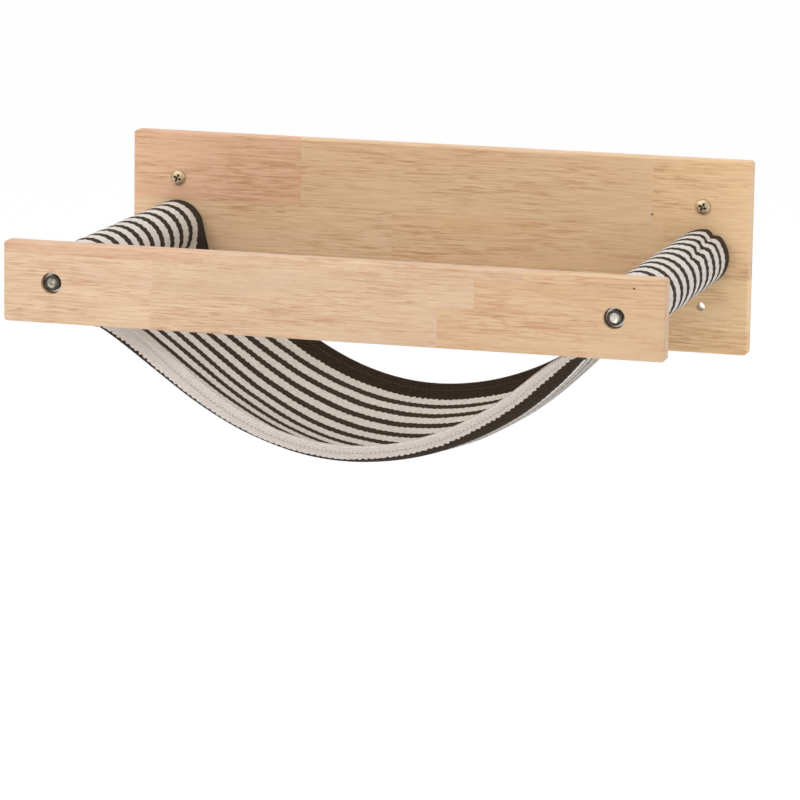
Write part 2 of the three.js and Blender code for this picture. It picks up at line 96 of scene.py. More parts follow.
class Field:
    """A number that varies over a surface: a shader socket with arithmetic."""

    def __init__(self, bench: "Bench", socket: bpy.types.NodeSocket) -> None:
        """Keeps the bench that adds nodes and the socket that carries the number."""
        self.bench = bench
        self.socket = socket

    def __add__(self, other: "Field | float") -> "Field":
        """This plus other."""
        return self.bench.math("ADD", self, other)

    def __radd__(self, other: float) -> "Field":
        """Other plus this."""
        return self.bench.math("ADD", other, self)

    def __sub__(self, other: "Field | float") -> "Field":
        """This minus other."""
        return self.bench.math("SUBTRACT", self, other)

    def __rsub__(self, other: float) -> "Field":
        """Other minus this."""
        return self.bench.math("SUBTRACT", other, self)

    def __mul__(self, other: "Field | float") -> "Field":
        """This times other."""
        return self.bench.math("MULTIPLY", self, other)

    def __rmul__(self, other: float) -> "Field":
        """Other times this."""
        return self.bench.math("MULTIPLY", other, self)

    def __truediv__(self, other: "Field | float") -> "Field":
        """This divided by other."""
        return self.bench.math("DIVIDE", self, other)

    def __rtruediv__(self, other: float) -> "Field":
        """Other divided by this."""
        return self.bench.math("DIVIDE", other, self)

    def __mod__(self, other: float) -> "Field":
        """What is left of this after whole steps of other, never below zero."""
        return self.bench.math("FLOORED_MODULO", self, other)

    def __abs__(self) -> "Field":
        """This without its sign."""
        return self.bench.math("ABSOLUTE", self)

    def above(self, limit: "Field | float") -> "Field":
        """One where this is greater than limit, else zero."""
        return self.bench.math("GREATER_THAN", self, limit)

    def floor(self) -> "Field":
        """The whole number below this."""
        return self.bench.math("FLOOR", self)

    def wave(self) -> "Field":
        """The sine of this, which is in whole turns."""
        return self.bench.math("SINE", self * math.tau)

    def hump(self) -> "Field":
        """Half a sine over each whole step: zero at its ends and one in its middle."""
        return self.bench.math("SINE", (self % 1.0) * math.pi)

    def larger(self, other: "Field | float") -> "Field":
        """The greater of this and other."""
        return self.bench.math("MAXIMUM", self, other)

    def ramp(self, low: float, high: float) -> "Field":
        """Zero up to low, one from high on, and a straight rise between."""
        settings = {"clamp": True}
        inputs = {"Value": self, "From Min": low, "From Max": high}
        return Field(self.bench, self.bench.node("ShaderNodeMapRange", settings, inputs).outputs[0])

    def mix(self, low: "Colour", high: "Colour") -> bpy.types.NodeSocket:
        """Goes from the colour low where this is zero to the colour high where it is one."""
        settings = {"data_type": "RGBA", "clamp_factor": True}
        inputs = {0: self, 6: low, 7: high}
        return self.bench.node("ShaderNodeMix", settings, inputs).outputs[2]


Colour = bpy.types.NodeSocket | tuple[float, float, float, float]


class Bench:
    """One material and the nodes that make it."""

    def __init__(self, name: str) -> None:
        """Starts an empty material called name."""
        self.material = bpy.data.materials.new(name)
        self.material.use_nodes = True
        self.tree = self.material.node_tree
        self.tree.nodes.clear()

    def node(self, kind: str, settings: dict | None = None, inputs: dict | None = None) -> bpy.types.Node:
        """Adds one node.

        Args:
            kind: Blender's name of the node's type.
            settings: its properties, set first; "stops" holds a ramp's places and colours.
            inputs: values or links of its sockets, by name or number.

        Returns:
            The new node.
        """
        made = self.tree.nodes.new(kind)
        for key, value in (settings or {}).items():
            if key == "stops":
                self._set_stops(made.color_ramp, value)
            elif key == "interpolation":
                made.color_ramp.interpolation = value
            else:
                setattr(made, key, value)
        for key, value in (inputs or {}).items():
            if isinstance(value, Field):
                value = value.socket
            if isinstance(value, bpy.types.NodeSocket):
                self.tree.links.new(value, made.inputs[key])
            else:
                made.inputs[key].default_value = value
        return made

    @staticmethod
    def _set_stops(ramp: bpy.types.ColorRamp, stops: Sequence[tuple[float, Colour]]) -> None:
        """Gives a ramp its stops, each a place and a colour."""
        while len(ramp.elements) < len(stops):
            ramp.elements.new(1.0)
        for element, (place, colour) in zip(ramp.elements, stops):
            element.position = place
            element.color = colour

    def math(self, operation: str, *values: Field | float) -> Field:
        """Adds a Math node on one or two values and returns its result."""
        made = self.node("ShaderNodeMath", {"operation": operation}, dict(enumerate(values)))
        return Field(self, made.outputs[0])

    def place(self) -> tuple[Field, Field, Field]:
        """Returns the place on the piece in metres, as X, Y and Z."""
        coordinates = self.node("ShaderNodeTexCoord").outputs["Object"]
        parts = self.node("ShaderNodeSeparateXYZ", None, {0: coordinates}).outputs
        return Field(self, parts[0]), Field(self, parts[1]), Field(self, parts[2])

    def cloth_place(self) -> tuple[Field, Field]:
        """Returns the place on the flat cloth in metres: round the section, and from the front edge."""
        flat = self.node("ShaderNodeUVMap", {"uv_map": "flat"}).outputs[0]
        parts = self.node("ShaderNodeSeparateXYZ", None, {0: flat}).outputs
        return Field(self, parts[0]), Field(self, parts[1])

    def noise(self, x: Field | float, y: Field | float, z: Field | float, detail: float = 2.0) -> Field:
        """Returns soft noise about a half, with one lump to each unit of x, y and z."""
        at = self.node("ShaderNodeCombineXYZ", None, {0: x, 1: y, 2: z}).outputs[0]
        inputs = {"Vector": at, "Scale": 1.0, "Detail": detail, "Roughness": 0.55}
        return Field(self, self.node("ShaderNodeTexNoise", None, inputs).outputs["Fac"])

    def bump(self, height: Field, strength: float, distance: float) -> bpy.types.NodeSocket:
        """Turns a height into a normal.

        Args:
            height: the relief, from zero to about one.
            strength: how much of the relief shows.
            distance: how deep one unit of height is, in metres.

        Returns:
            The normal's socket.
        """
        inputs = {"Height": height, "Strength": strength, "Distance": distance}
        return self.node("ShaderNodeBump", None, inputs).outputs[0]

    def finish(self, **inputs: "Field | Colour | float") -> bpy.types.Material:
        """Closes the material with its surface shader.

        Args:
            inputs: the shader's sockets, with underscores for spaces.

        Returns:
            The finished material.
        """
        named = {key.replace("_", " "): value for key, value in inputs.items()}
        shader = self.node("ShaderNodeBsdfPrincipled", None, named)
        self.node("ShaderNodeOutputMaterial", None, {"Surface": shader.outputs[0]})
        return self.material


# ------------------------------------------------------------------ wood


@dataclass(frozen=True)
class Stave:
    """One strip of a glued-up board, made of blocks butted end to end.

    Attributes:
        bottom: height of the strip's lower edge.
        joints: places of the butt joints along X.
        tones: colour of each block, one more than there are joints.
    """

    bottom: float
    joints: tuple[float, ...]
    tones: tuple[str, ...]


@dataclass(frozen=True)
class Knot:
    """A small dark knot on the front face."""

    x: float
    z: float
    radius: float


@dataclass(frozen=True)
class Patch:
    """A soft oval on the front face."""

    x: float
    z: float
    length: float
    height: float

    def mask(self, x: Field, z: Field) -> Field:
        """Marks the oval: one in its middle and zero from its rim on."""
        across = (x - self.x) / self.length
        up = (z - self.z) / self.height
        return 1.0 - (across * across + up * up).ramp(0.1, 1.0)


@dataclass(frozen=True)
class Rubberwood:
    """Pale oiled rubberwood with its grain along one axis.

    Attributes:
        name: name of the material.
        staves: strips from the bottom up; the first one's bottom isn't used.
        knots: small dark knots.
        figure: places with the strongest streaks.
        along_y: whether the grain runs along Y, as in a rod, and not along X.
    """

    name: str
    staves: tuple[Stave, ...]
    knots: tuple[Knot, ...] = ()
    figure: tuple["Patch", ...] = ()
    along_y: bool = False

    STREAK = paint("#A2693E")
    PALE = paint("#E2CBAB")
    PORE = paint("#7E5234")
    GLUE = paint("#9C6B48")

    def material(self) -> bpy.types.Material:
        """Builds the material and returns it."""
        bench = Bench(self.name)
        x, y, z = bench.place()
        if self.along_y:
            x, y = y, x
        number = self._block_number(x, z)
        count = sum(len(stave.tones) for stave in self.staves)
        tones = [tone for stave in self.staves for tone in stave.tones]
        stops = [(i / count, paint(tone)) for i, tone in enumerate(tones)]
        settings = {"interpolation": "CONSTANT", "stops": stops}
        base = bench.node("ShaderNodeValToRGB", settings, {0: (number + 0.5) / count}).outputs[0]

        shift = number * 7.3
        flow = z + (bench.noise(x / 0.16 + shift, y / 0.03, z / 0.05) - 0.5) * 0.004
        cloudy = bench.noise(x / 0.15 + shift, y / 0.05, flow / 0.016 + shift)
        streaks = bench.noise(x / 0.045 + shift, y / 0.005, flow / 0.0019 + shift, 2.0)
        flecks = bench.noise(x / 0.016 + shift, y / 0.002, flow / 0.0012 + shift)
        fibres = bench.noise(x / 0.020 + shift, y / 0.0009, flow / 0.0007)
        pores = bench.noise(x / 0.0065 + shift, y / 0.0006, flow / 0.0005 + shift).ramp(0.62, 0.76)
        figured = bench.noise(x / 0.10 + shift, y / 0.05, z / 0.03 + shift).ramp(0.38, 0.68)
        for patch in self.figure:
            figured = figured.larger(patch.mask(x, z))

        colour = (cloudy.ramp(0.35, 0.75) * 0.30).mix(base, self.PALE)
        colour = (streaks.ramp(0.44, 0.74) * (0.18 + figured * 0.50)).mix(colour, self.STREAK)
        colour = (flecks.ramp(0.50, 0.72) * (0.16 + figured * 0.52)).mix(colour, self.STREAK)
        colour = (fibres.ramp(0.42, 0.80) * 0.20).mix(colour, self.STREAK)
        colour = (pores * 0.30).mix(colour, self.PORE)
        colour = (self._glue_lines(x, z) * 0.30).mix(colour, self.GLUE)
        for knot in self.knots:
            colour = self._knot_mask(bench, knot, x, z).mix(colour, paint("#4A2C18"))
        relief = fibres * 0.4 - pores
        return bench.finish(
            Base_Color=colour,
            Roughness=0.46 + streaks * 0.12 + pores * 0.2,
            Normal=bench.bump(relief, 0.35, 0.00012),
            Coat_Weight=0.05,
            Coat_Roughness=0.35,
        )

    def _block_number(self, x: Field, z: Field) -> Field:
        """Numbers the blocks from zero: by stave from the bottom, and from left to right.

        Args:
            x: place along the grain.
            z: height.

        Returns:
            The number of the block at each place.
        """
        number = None
        first = 0
        for stave in self.staves:
            here = x * 0.0 + float(first)
            for joint in stave.joints:
                here = here + x.above(joint)
            number = here if number is None else number + (here - number) * z.above(stave.bottom)
            first += len(stave.tones)
        return number

    def _glue_lines(self, x: Field, z: Field) -> Field:
        """Marks the thin lines where staves are glued edge to edge."""
        lines = x * 0.0
        for stave in self.staves[1:]:
            lines = lines.larger(1.0 - abs(z - stave.bottom).ramp(0.0, 0.35 * MM))
        return lines

    @staticmethod
    def _knot_mask(bench: Bench, knot: Knot, x: Field, z: Field) -> Field:
        """Marks one knot: a dark, slightly ragged spot."""
        across = abs(x - knot.x) / knot.radius
        up = abs(z - knot.z) / knot.radius
        ragged = bench.noise(x / knot.radius, 0.0, z / knot.radius) * 0.7
        reach = across * across + up * up + ragged
        return 1.0 - reach.ramp(0.6, 1.5)


BOARD_WOOD = Rubberwood(
    "board_rubberwood",
    (
        Stave(-0.083, (0.02,), ("#D6B081", "#DCB685")),
        Stave(-0.063, (-0.15, 0.13), ("#D2B48F", "#D2B087", "#E0BE8E")),
        Stave(-0.018, (-0.04, 0.20), ("#D4B28D", "#D4B088", "#D8B58A")),
        Stave(0.024, (-0.122, 0.19), ("#D0A686", "#D3B28C", "#D8B58A")),
    ),
    (Knot(0.19, 0.034, 1.2 * MM),),
    (Patch(-0.16, 0.05, 0.09, 0.03), Patch(0.24, -0.07, 0.08, 0.012)),
)
RAIL_WOOD = Rubberwood(
    "rail_rubberwood",
    (
        Stave(-0.033, (-0.15, 0.09), ("#CCB091", "#C4A88B", "#C3A380")),
        Stave(0.0, (-0.148, 0.12), ("#CCB094", "#C4A98C", "#C4A37F")),
        Stave(0.024, (-0.105, 0.16), ("#C5A184", "#C5A88B", "#C4A37F")),
    ),
    (Knot(0.2495, 0.0245, 1.1 * MM),),
    (Patch(0.16, -0.008, 0.09, 0.02), Patch(-0.02, -0.012, 0.07, 0.014)),
)
ROD_WOOD = Rubberwood("rod_rubberwood", (Stave(-0.021, (), ("#D0AE8A",)),), along_y=True)


# ------------------------------------------------------------------ metals


@dataclass(frozen=True)
class PlatedSteel:
    """Plated steel with faint handling marks.

    Attributes:
        name: name of the material.
        bright: colour of the clean plating.
        dull: colour where it has dulled.
        roughness: roughness of the clean plating.
    """

    name: str
    bright: str
    dull: str
    roughness: float

    def material(self) -> bpy.types.Material:
        """Builds the material and returns it."""
        bench = Bench(self.name)
        x, y, z = bench.place()
        patches = bench.noise(x / 0.003, y / 0.003, z / 0.003, 3.0)
        scratches = bench.noise(x / 0.0045, y / 0.0045, z / 0.0002)
        return bench.finish(
            Base_Color=patches.ramp(0.35, 0.75).mix(paint(self.bright), paint(self.dull)),
            Metallic=1.0,
            Roughness=self.roughness + patches * 0.12 + scratches * 0.06,
            Normal=bench.bump(patches * 0.5 + scratches * 0.5, 0.18, 0.00006),
        )


NICKEL = PlatedSteel("nickel_plating", "#5F5A52", "#37332D", 0.17)
# painted highlight: the inside of each bolt's socket is painted in pale nickel
SOCKET_HIGHLIGHT_NICKEL = PlatedSteel("socket_painted_highlight", "#DDD9D0", "#A8A297", 0.3)
ZINC = PlatedSteel("bright_zinc", "#F3F1EA", "#D2CFC4", 0.26)
YELLOW_ZINC = PlatedSteel("yellow_zinc", "#D3C0A2", "#9C8663", 0.42)
RECESS_SHADE = PlatedSteel("yellow_zinc_recess", "#6A5236", "#3B2C1C", 0.5)


# ------------------------------------------------------------------ cloth finishes


@dataclass(frozen=True)
class StripedCanvas:
    """Heavy cotton canvas with dark stripes woven across it.

    The pattern lies on the flat cloth: stripes are counted from the rear edge.

    Attributes:
        width: finished width of the cloth, from the front edge to the rear edge.
        hem: width of the dark band along the rear edge.
        pale_stripe: width of a pale stripe.
        dark_stripe: width of a dark stripe.
        stripes: how many dark stripes there are besides the dark band.
        thread: distance from one row of the weave to the next.
        float_length: length of one raised stitch of the weave.
        hem_line: distance of the hem's stitches from the edge.
        stitch: distance from one of them to the next.
        turned_in: how much more of the front edge is hemmed at the right, where the stripes run out.
        turned_in_from: distances round the section between which that grows to its full width.
    """

    width: float
    hem: float = 16 * MM
    pale_stripe: float = 14.1 * MM
    dark_stripe: float = 11.0 * MM
    stripes: int = 11
    thread: float = 1.5 * MM
    float_length: float = 3.2 * MM
    hem_line: float = 6.4 * MM
    stitch: float = 3.9 * MM
    turned_in: float = 3.4 * MM
    turned_in_from: tuple[float, float] = (0.43, 0.60)

    def material(self) -> bpy.types.Material:
        """Builds the material and returns it."""
        bench = Bench("striped_canvas")
        across, along = bench.cloth_place()
        row = along / self.thread
        lean = row * 0.5 + (row % 1.0) * 0.35
        bead = (across / self.float_length + lean).hump()
        rib = row.hump()
        weave = rib * (0.35 + bead * 0.65)
        fuzz = bench.noise(across / 0.0007, along / 0.0007, 0.0)
        slubs = bench.noise(across / 0.0042 + along / 0.004, along / 0.0017, 2.0, 3.0)
        shade = bench.noise(across / 0.05, along / 0.03, 1.7)

        dark = self._dark_mask(bench, across, along)
        pale_low = shade.mix(paint("#A79F96"), paint("#968D84"))
        # painted shade: the hollows of the weave are painted darker than its raised threads and slubs, on the pale
        # and the dark stripes; the fuzz adds uneven yarn tone
        light = weave * 0.45 + slubs * 0.75 + fuzz * 0.2
        pale = light.ramp(0.34, 0.94).mix(pale_low, paint("#E9E3DC"))
        # painted shade: the pale cloth is painted darker along the front edge, fully up to 12 mm from it and fading
        # out by 22 mm
        front_band_shade = 1.0 - along.ramp(12 * MM, 22 * MM)
        pale = (front_band_shade * 0.42).mix(pale, paint("#B5A89F"))
        pale = self._hem_groove(across, along).mix(pale, paint("#7D736A"))
        deep = light.ramp(0.35, 1.20).mix(paint("#140E09"), paint("#4A3B2C"))
        relief = weave * 0.7 + slubs * 0.3
        return bench.finish(
            Base_Color=dark.mix(pale, deep),
            Roughness=0.86 + fuzz * 0.1,
            Normal=bench.bump(relief, 0.9, 0.0005),
            Sheen_Weight=0.04,
            Sheen_Roughness=0.5,
            Specular_IOR_Level=0.1,
        )

    def _hem_groove(self, across: Field, along: Field) -> Field:
        """Marks the shade in the groove that the stitches of the hems pull into the cloth."""
        middle = self.width / 2
        from_edge = middle - abs(along - middle)
        groove = 1.0 - abs(from_edge - self.hem_line).ramp(0.25 * MM, 1.05 * MM)
        dash = (across / self.stitch).hump()
        return groove * (0.75 - dash * 0.4)

    def _dark_mask(self, bench: Bench, across: Field, along: Field) -> Field:
        """Marks the dark stripes, with edges stepped by the weave.

        Args:
            bench: the material's bench.
            across: place round the section.
            along: distance from the front edge.

        Returns:
            One on the dark stripes and zero on the pale ones.
        """
        pitch = self.pale_stripe + self.dark_stripe
        wander = (bench.noise(across / 0.022, along / 0.05, 4.0) - 0.5) * (2.4 * MM)
        ragged = (bench.noise(across / 0.0026, along / 0.004, 8.0) - 0.5) * (3.0 * MM)
        steps = (across / (5.2 * MM) + (along / pitch).floor() * 0.37).wave() * (0.6 * MM)
        turned_in = across.ramp(*self.turned_in_from) * (1.0 - along.ramp(14 * MM, 26 * MM)) * self.turned_in
        from_rear = self.width - along + wander + ragged + steps - turned_in
        past_hem = from_rear - self.hem
        in_stripe = (past_hem % pitch).ramp(self.pale_stripe - 0.12 * MM, self.pale_stripe + 0.12 * MM)
        in_stripe = in_stripe * (1.0 - past_hem.above(self.stripes * pitch))
        in_hem = 1.0 - past_hem.ramp(-0.12 * MM, 0.12 * MM)
        return (in_stripe * past_hem.above(0.0)).larger(in_hem)


@dataclass(frozen=True)
class CottonThread:
    """Sewing thread, twisted from fine plies."""

    name: str
    light: str
    dark: str

    def material(self) -> bpy.types.Material:
        """Builds the material and returns it."""
        bench = Bench(self.name)
        x, y, z = bench.place()
        plies = ((x + y + z) / (0.55 * MM)).hump()
        fuzz = bench.noise(x / 0.0004, y / 0.0004, z / 0.0004)
        # painted shade: the grooves between the twisted plies are painted darker than their crests; the fuzz adds
        # uneven yarn tone
        return bench.finish(
            Base_Color=(plies * 0.7 + fuzz * 0.3).mix(paint(self.dark), paint(self.light)),
            Roughness=0.7 + fuzz * 0.2,
            Normal=bench.bump(plies, 0.5, 0.00008),
            Specular_IOR_Level=0.3,
        )


PALE_THREAD = CottonThread("pale_thread", "#EFE9DE", "#B5AB9C")
DARK_THREAD = CottonThread("dark_thread", "#5A4E40", "#2A221B")


# ------------------------------------------------------------------ mesh helpers


def finished_piece(
    name: str,
    mesh: bmesh.types.BMesh,
    material: bpy.types.Material,
    replaced: Iterable[str] = (),
) -> bpy.types.Object:
    """Makes a mesh into a piece of the object and frees the mesh.

    Args:
        name: name of the piece.
        mesh: its shape, in the frame of the CAD.
        material: its finish.
        replaced: the CAD nodes that it stands for.

    Returns:
        The piece.
    """
    data = bpy.data.meshes.new(name)
    mesh.to_mesh(data)
    mesh.free()
    data.materials.append(material)
    data.shade_smooth()
    piece = bpy.data.objects.new(name, data)
    bpy.context.scene.collection.objects.link(piece)
    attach(piece, BODY)
    for node in replaced:
        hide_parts(node)
    LOG.info("%s: %d faces", name, len(data.polygons))
    return piece


def sharpen(piece: bpy.types.Object, degrees: float) -> None:
    """Keeps the edges of a smooth piece that turn by more than so many degrees sharp."""
    piece.data.set_sharp_from_angle(angle=math.radians(degrees))


def chain(mesh: bmesh.types.BMesh, points: Sequence[tuple[float, float]]) -> list:
    """Draws a profile in the plane z = 0.

    Args:
        mesh: the mesh that takes it.
        points: radius and place along Y of each corner.

    Returns:
        The vertices and edges of the profile.
    """
    verts = [mesh.verts.new((radius, y, 0.0)) for radius, y in points]
    edges = [mesh.edges.new(pair) for pair in zip(verts, verts[1:])]
    return [*verts, *edges]


def turn(mesh: bmesh.types.BMesh, points: Sequence[tuple[float, float]], steps: int) -> None:
    """Turns a profile about the Y axis into a closed skin.

    Args:
        mesh: the mesh that takes it.
        points: radius and place along Y of each corner.
        steps: how many facets go round.
    """
    bmesh.ops.spin(
        mesh,
        geom=chain(mesh, points),
        cent=(0, 0, 0),
        axis=(0, 1, 0),
        angle=math.tau,
        steps=steps,
        use_merge=True,
    )


def thread_skin(
    mesh: bmesh.types.BMesh,
    core: float,
    crest: float,
    pitch: float,
    start: float,
    end: float,
    steps: int,
) -> None:
    """Adds a threaded rod along Y, closed at both ends.

    Args:
        mesh: the mesh that takes it.
        core: radius at the root of the thread.
        crest: radius at its crest.
        pitch: distance from one turn to the next.
        start: where the rod starts along Y.
        end: where it ends.
        steps: how many facets go round.
    """
    rod = bmesh.new()
    turns = math.ceil((end - start) / pitch) + 2
    profile = []
    for i in range(turns):
        base = start - pitch + i * pitch
        profile += [(core, base), (core, base + 0.15 * pitch)]
        profile += [(crest, base + 0.5 * pitch), (crest, base + 0.62 * pitch)]
    bmesh.ops.spin(
        rod,
        geom=chain(rod, profile),
        cent=(0, 0, 0),
        axis=(0, 1, 0),
        dvec=(0, pitch / steps, 0),
        angle=math.tau,
        steps=steps,
    )
    bmesh.ops.remove_doubles(rod, verts=rod.verts, dist=pitch / 1000)
    for place, outwards in ((start, -1), (end, 1)):
        everything = [*rod.verts, *rod.edges, *rod.faces]
        normal = (0, outwards, 0)
        bmesh.ops.bisect_plane(rod, geom=everything, plane_co=(0, place, 0), plane_no=normal, clear_outer=True)
        rim = [edge for edge in rod.edges if edge.is_boundary and abs(edge.verts[0].co.y - place) < 1e-7]
        bmesh.ops.edgenet_fill(rod, edges=rim)
    bmesh.ops.recalc_face_normals(rod, faces=rod.faces)
    data = bpy.data.meshes.new("thread")
    rod.to_mesh(data)
    rod.free()
    mesh.from_mesh(data)
    bpy.data.meshes.remove(data)


# ------------------------------------------------------------------ fasteners


@dataclass
class SocketBolt:
    """A low-head socket bolt, made with its head's face on y = 0 and its shank along +Y."""

    head_radius: float = 6.5 * MM
    head_height: float = 5 * MM
    head_ease: float = 0.9 * MM
    socket_across: float = 6 * MM
    socket_depth: float = 3.2 * MM
    socket_flare: float = 0.5 * MM
    thread_radius: float = 4 * MM
    thread_depth: float = 0.62 * MM
    thread_pitch: float = 1.25 * MM
    length: float = 30 * MM
    steps: int = 48

    def mesh(self) -> bmesh.types.BMesh:
        """Returns the bolt's shape: a head with a hexagonal socket, and a threaded shank."""
        made = bmesh.new()
        corner = self.socket_across / math.sqrt(3)
        mouth = corner + self.socket_flare
        ease = [
            (
                self.head_radius - self.head_ease * (1 - math.sin(angle)),
                self.head_ease * (1 - math.cos(angle)),
            )
            for angle in (0, math.pi / 8, math.pi / 4, 3 * math.pi / 8, math.pi / 2)
        ]
        knurl_end = self.head_height - 0.3 * MM
        profile = [
            (mouth, 0.0),
            *ease,
            (self.head_radius, knurl_end),
            (self.head_radius - 0.3 * MM, self.head_height),
            (0.0, self.head_height),
        ]
        turn(made, profile, self.steps)
        self._cut_socket(made, mouth)
        bmesh.ops.remove_doubles(made, verts=made.verts, dist=1e-7)
        bmesh.ops.recalc_face_normals(made, faces=made.faces)
        # the faces inside the socket take the second finish, the painted highlight
        for face in made.faces:
            centre = face.calc_center_median()
            inside = math.hypot(centre.x, centre.z) < mouth and centre.y < self.head_height - 0.5 * MM
            face.material_index = SECOND_FINISH if inside else 0
        core = self.thread_radius - self.thread_depth
        start = self.head_height - 0.5 * MM
        thread_skin(made, core, self.thread_radius, self.thread_pitch, start, self.head_height + self.length, 28)
        self._ease_tip(made)
        return made

    def _cut_socket(self, mesh: bmesh.types.BMesh, mouth: float) -> None:
        """Sinks the hexagonal socket into the round opening that the head was turned with.

        Args:
            mesh: the head.
            mouth: radius of that opening; not used.
        """
        rim = [edge for edge in mesh.edges if edge.is_boundary]
        hexagon = bmesh.ops.create_circle(mesh, segments=6, radius=self.socket_across / math.sqrt(3))["verts"]
        bmesh.ops.rotate(mesh, verts=hexagon, matrix=Matrix.Rotation(math.pi / 2, 3, "X"))
        sides = list({edge for vert in hexagon for edge in vert.link_edges})
        parts = bmesh.ops.subdivide_edges(mesh, edges=sides, cuts=self.steps // 6 - 1)["geom"]
        sides = list({edge for edge in (*sides, *parts) if isinstance(edge, bmesh.types.BMEdge)})
        corners = {vert for edge in sides for vert in edge.verts}
        bmesh.ops.translate(mesh, verts=list(corners), vec=(0, self.socket_flare, 0))
        bmesh.ops.bridge_loops(mesh, edges=[*rim, *sides])
        walls = bmesh.ops.extrude_edge_only(mesh, edges=sides)["geom"]
        floor_verts = [part for part in walls if isinstance(part, bmesh.types.BMVert)]
        floor_edges = [part for part in walls if isinstance(part, bmesh.types.BMEdge)]
        drop = self.socket_depth - self.socket_flare
        bmesh.ops.translate(mesh, verts=floor_verts, vec=(0, drop, 0))
        floor_edges = [edge for edge in floor_edges if edge.is_boundary]
        floor = bmesh.ops.edgenet_fill(mesh, edges=floor_edges)["faces"]
        centre = bmesh.ops.poke(mesh, faces=floor)["verts"]
        bmesh.ops.translate(mesh, verts=centre, vec=(0, 0.8 * MM, 0))

    def _ease_tip(self, mesh: bmesh.types.BMesh) -> None:
        """Narrows the last turn of the thread to a chamfered tip."""
        end = self.head_height + self.length
        chamfer = 1.2 * MM
        for vert in mesh.verts:
            past = vert.co.y - (end - chamfer)
            if past > 0:
                radius = math.hypot(vert.co.x, vert.co.z)
                limit = self.thread_radius - past
                if radius > limit:
                    vert.co.x *= limit / radius
                    vert.co.z *= limit / radius

    def fit(
        self, side: Side, end: End, material: bpy.types.Material, socket_highlight: bpy.types.Material
    ) -> bpy.types.Object:
        """Places one bolt where the CAD has it.

        Args:
            side: which rod it holds.
            end: which end of that rod.
            material: its finish.
            socket_highlight: the finish inside its socket, pale nickel as a painted highlight.

        Returns:
            The finished bolt.
        """
        node = f"bolt_{side.name.lower()}_{end.name.lower()}"
        low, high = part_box(node)
        face = low.y if end is End.FRONT else high.y
        turned = Matrix.Rotation(0.0 if end is End.FRONT else math.pi, 4, "Z")
        centre = (low + high) / 2
        spin = Matrix.Rotation(math.radians(20 * side.value), 4, "Y")
        made = self.mesh()
        made.transform(Matrix.Translation((centre.x, face, centre.z)) @ turned @ spin)
        piece = finished_piece(f"{node}_threaded", made, material, [node])
        piece.data.materials.append(socket_highlight)
        sharpen(piece, 32)
        return piece


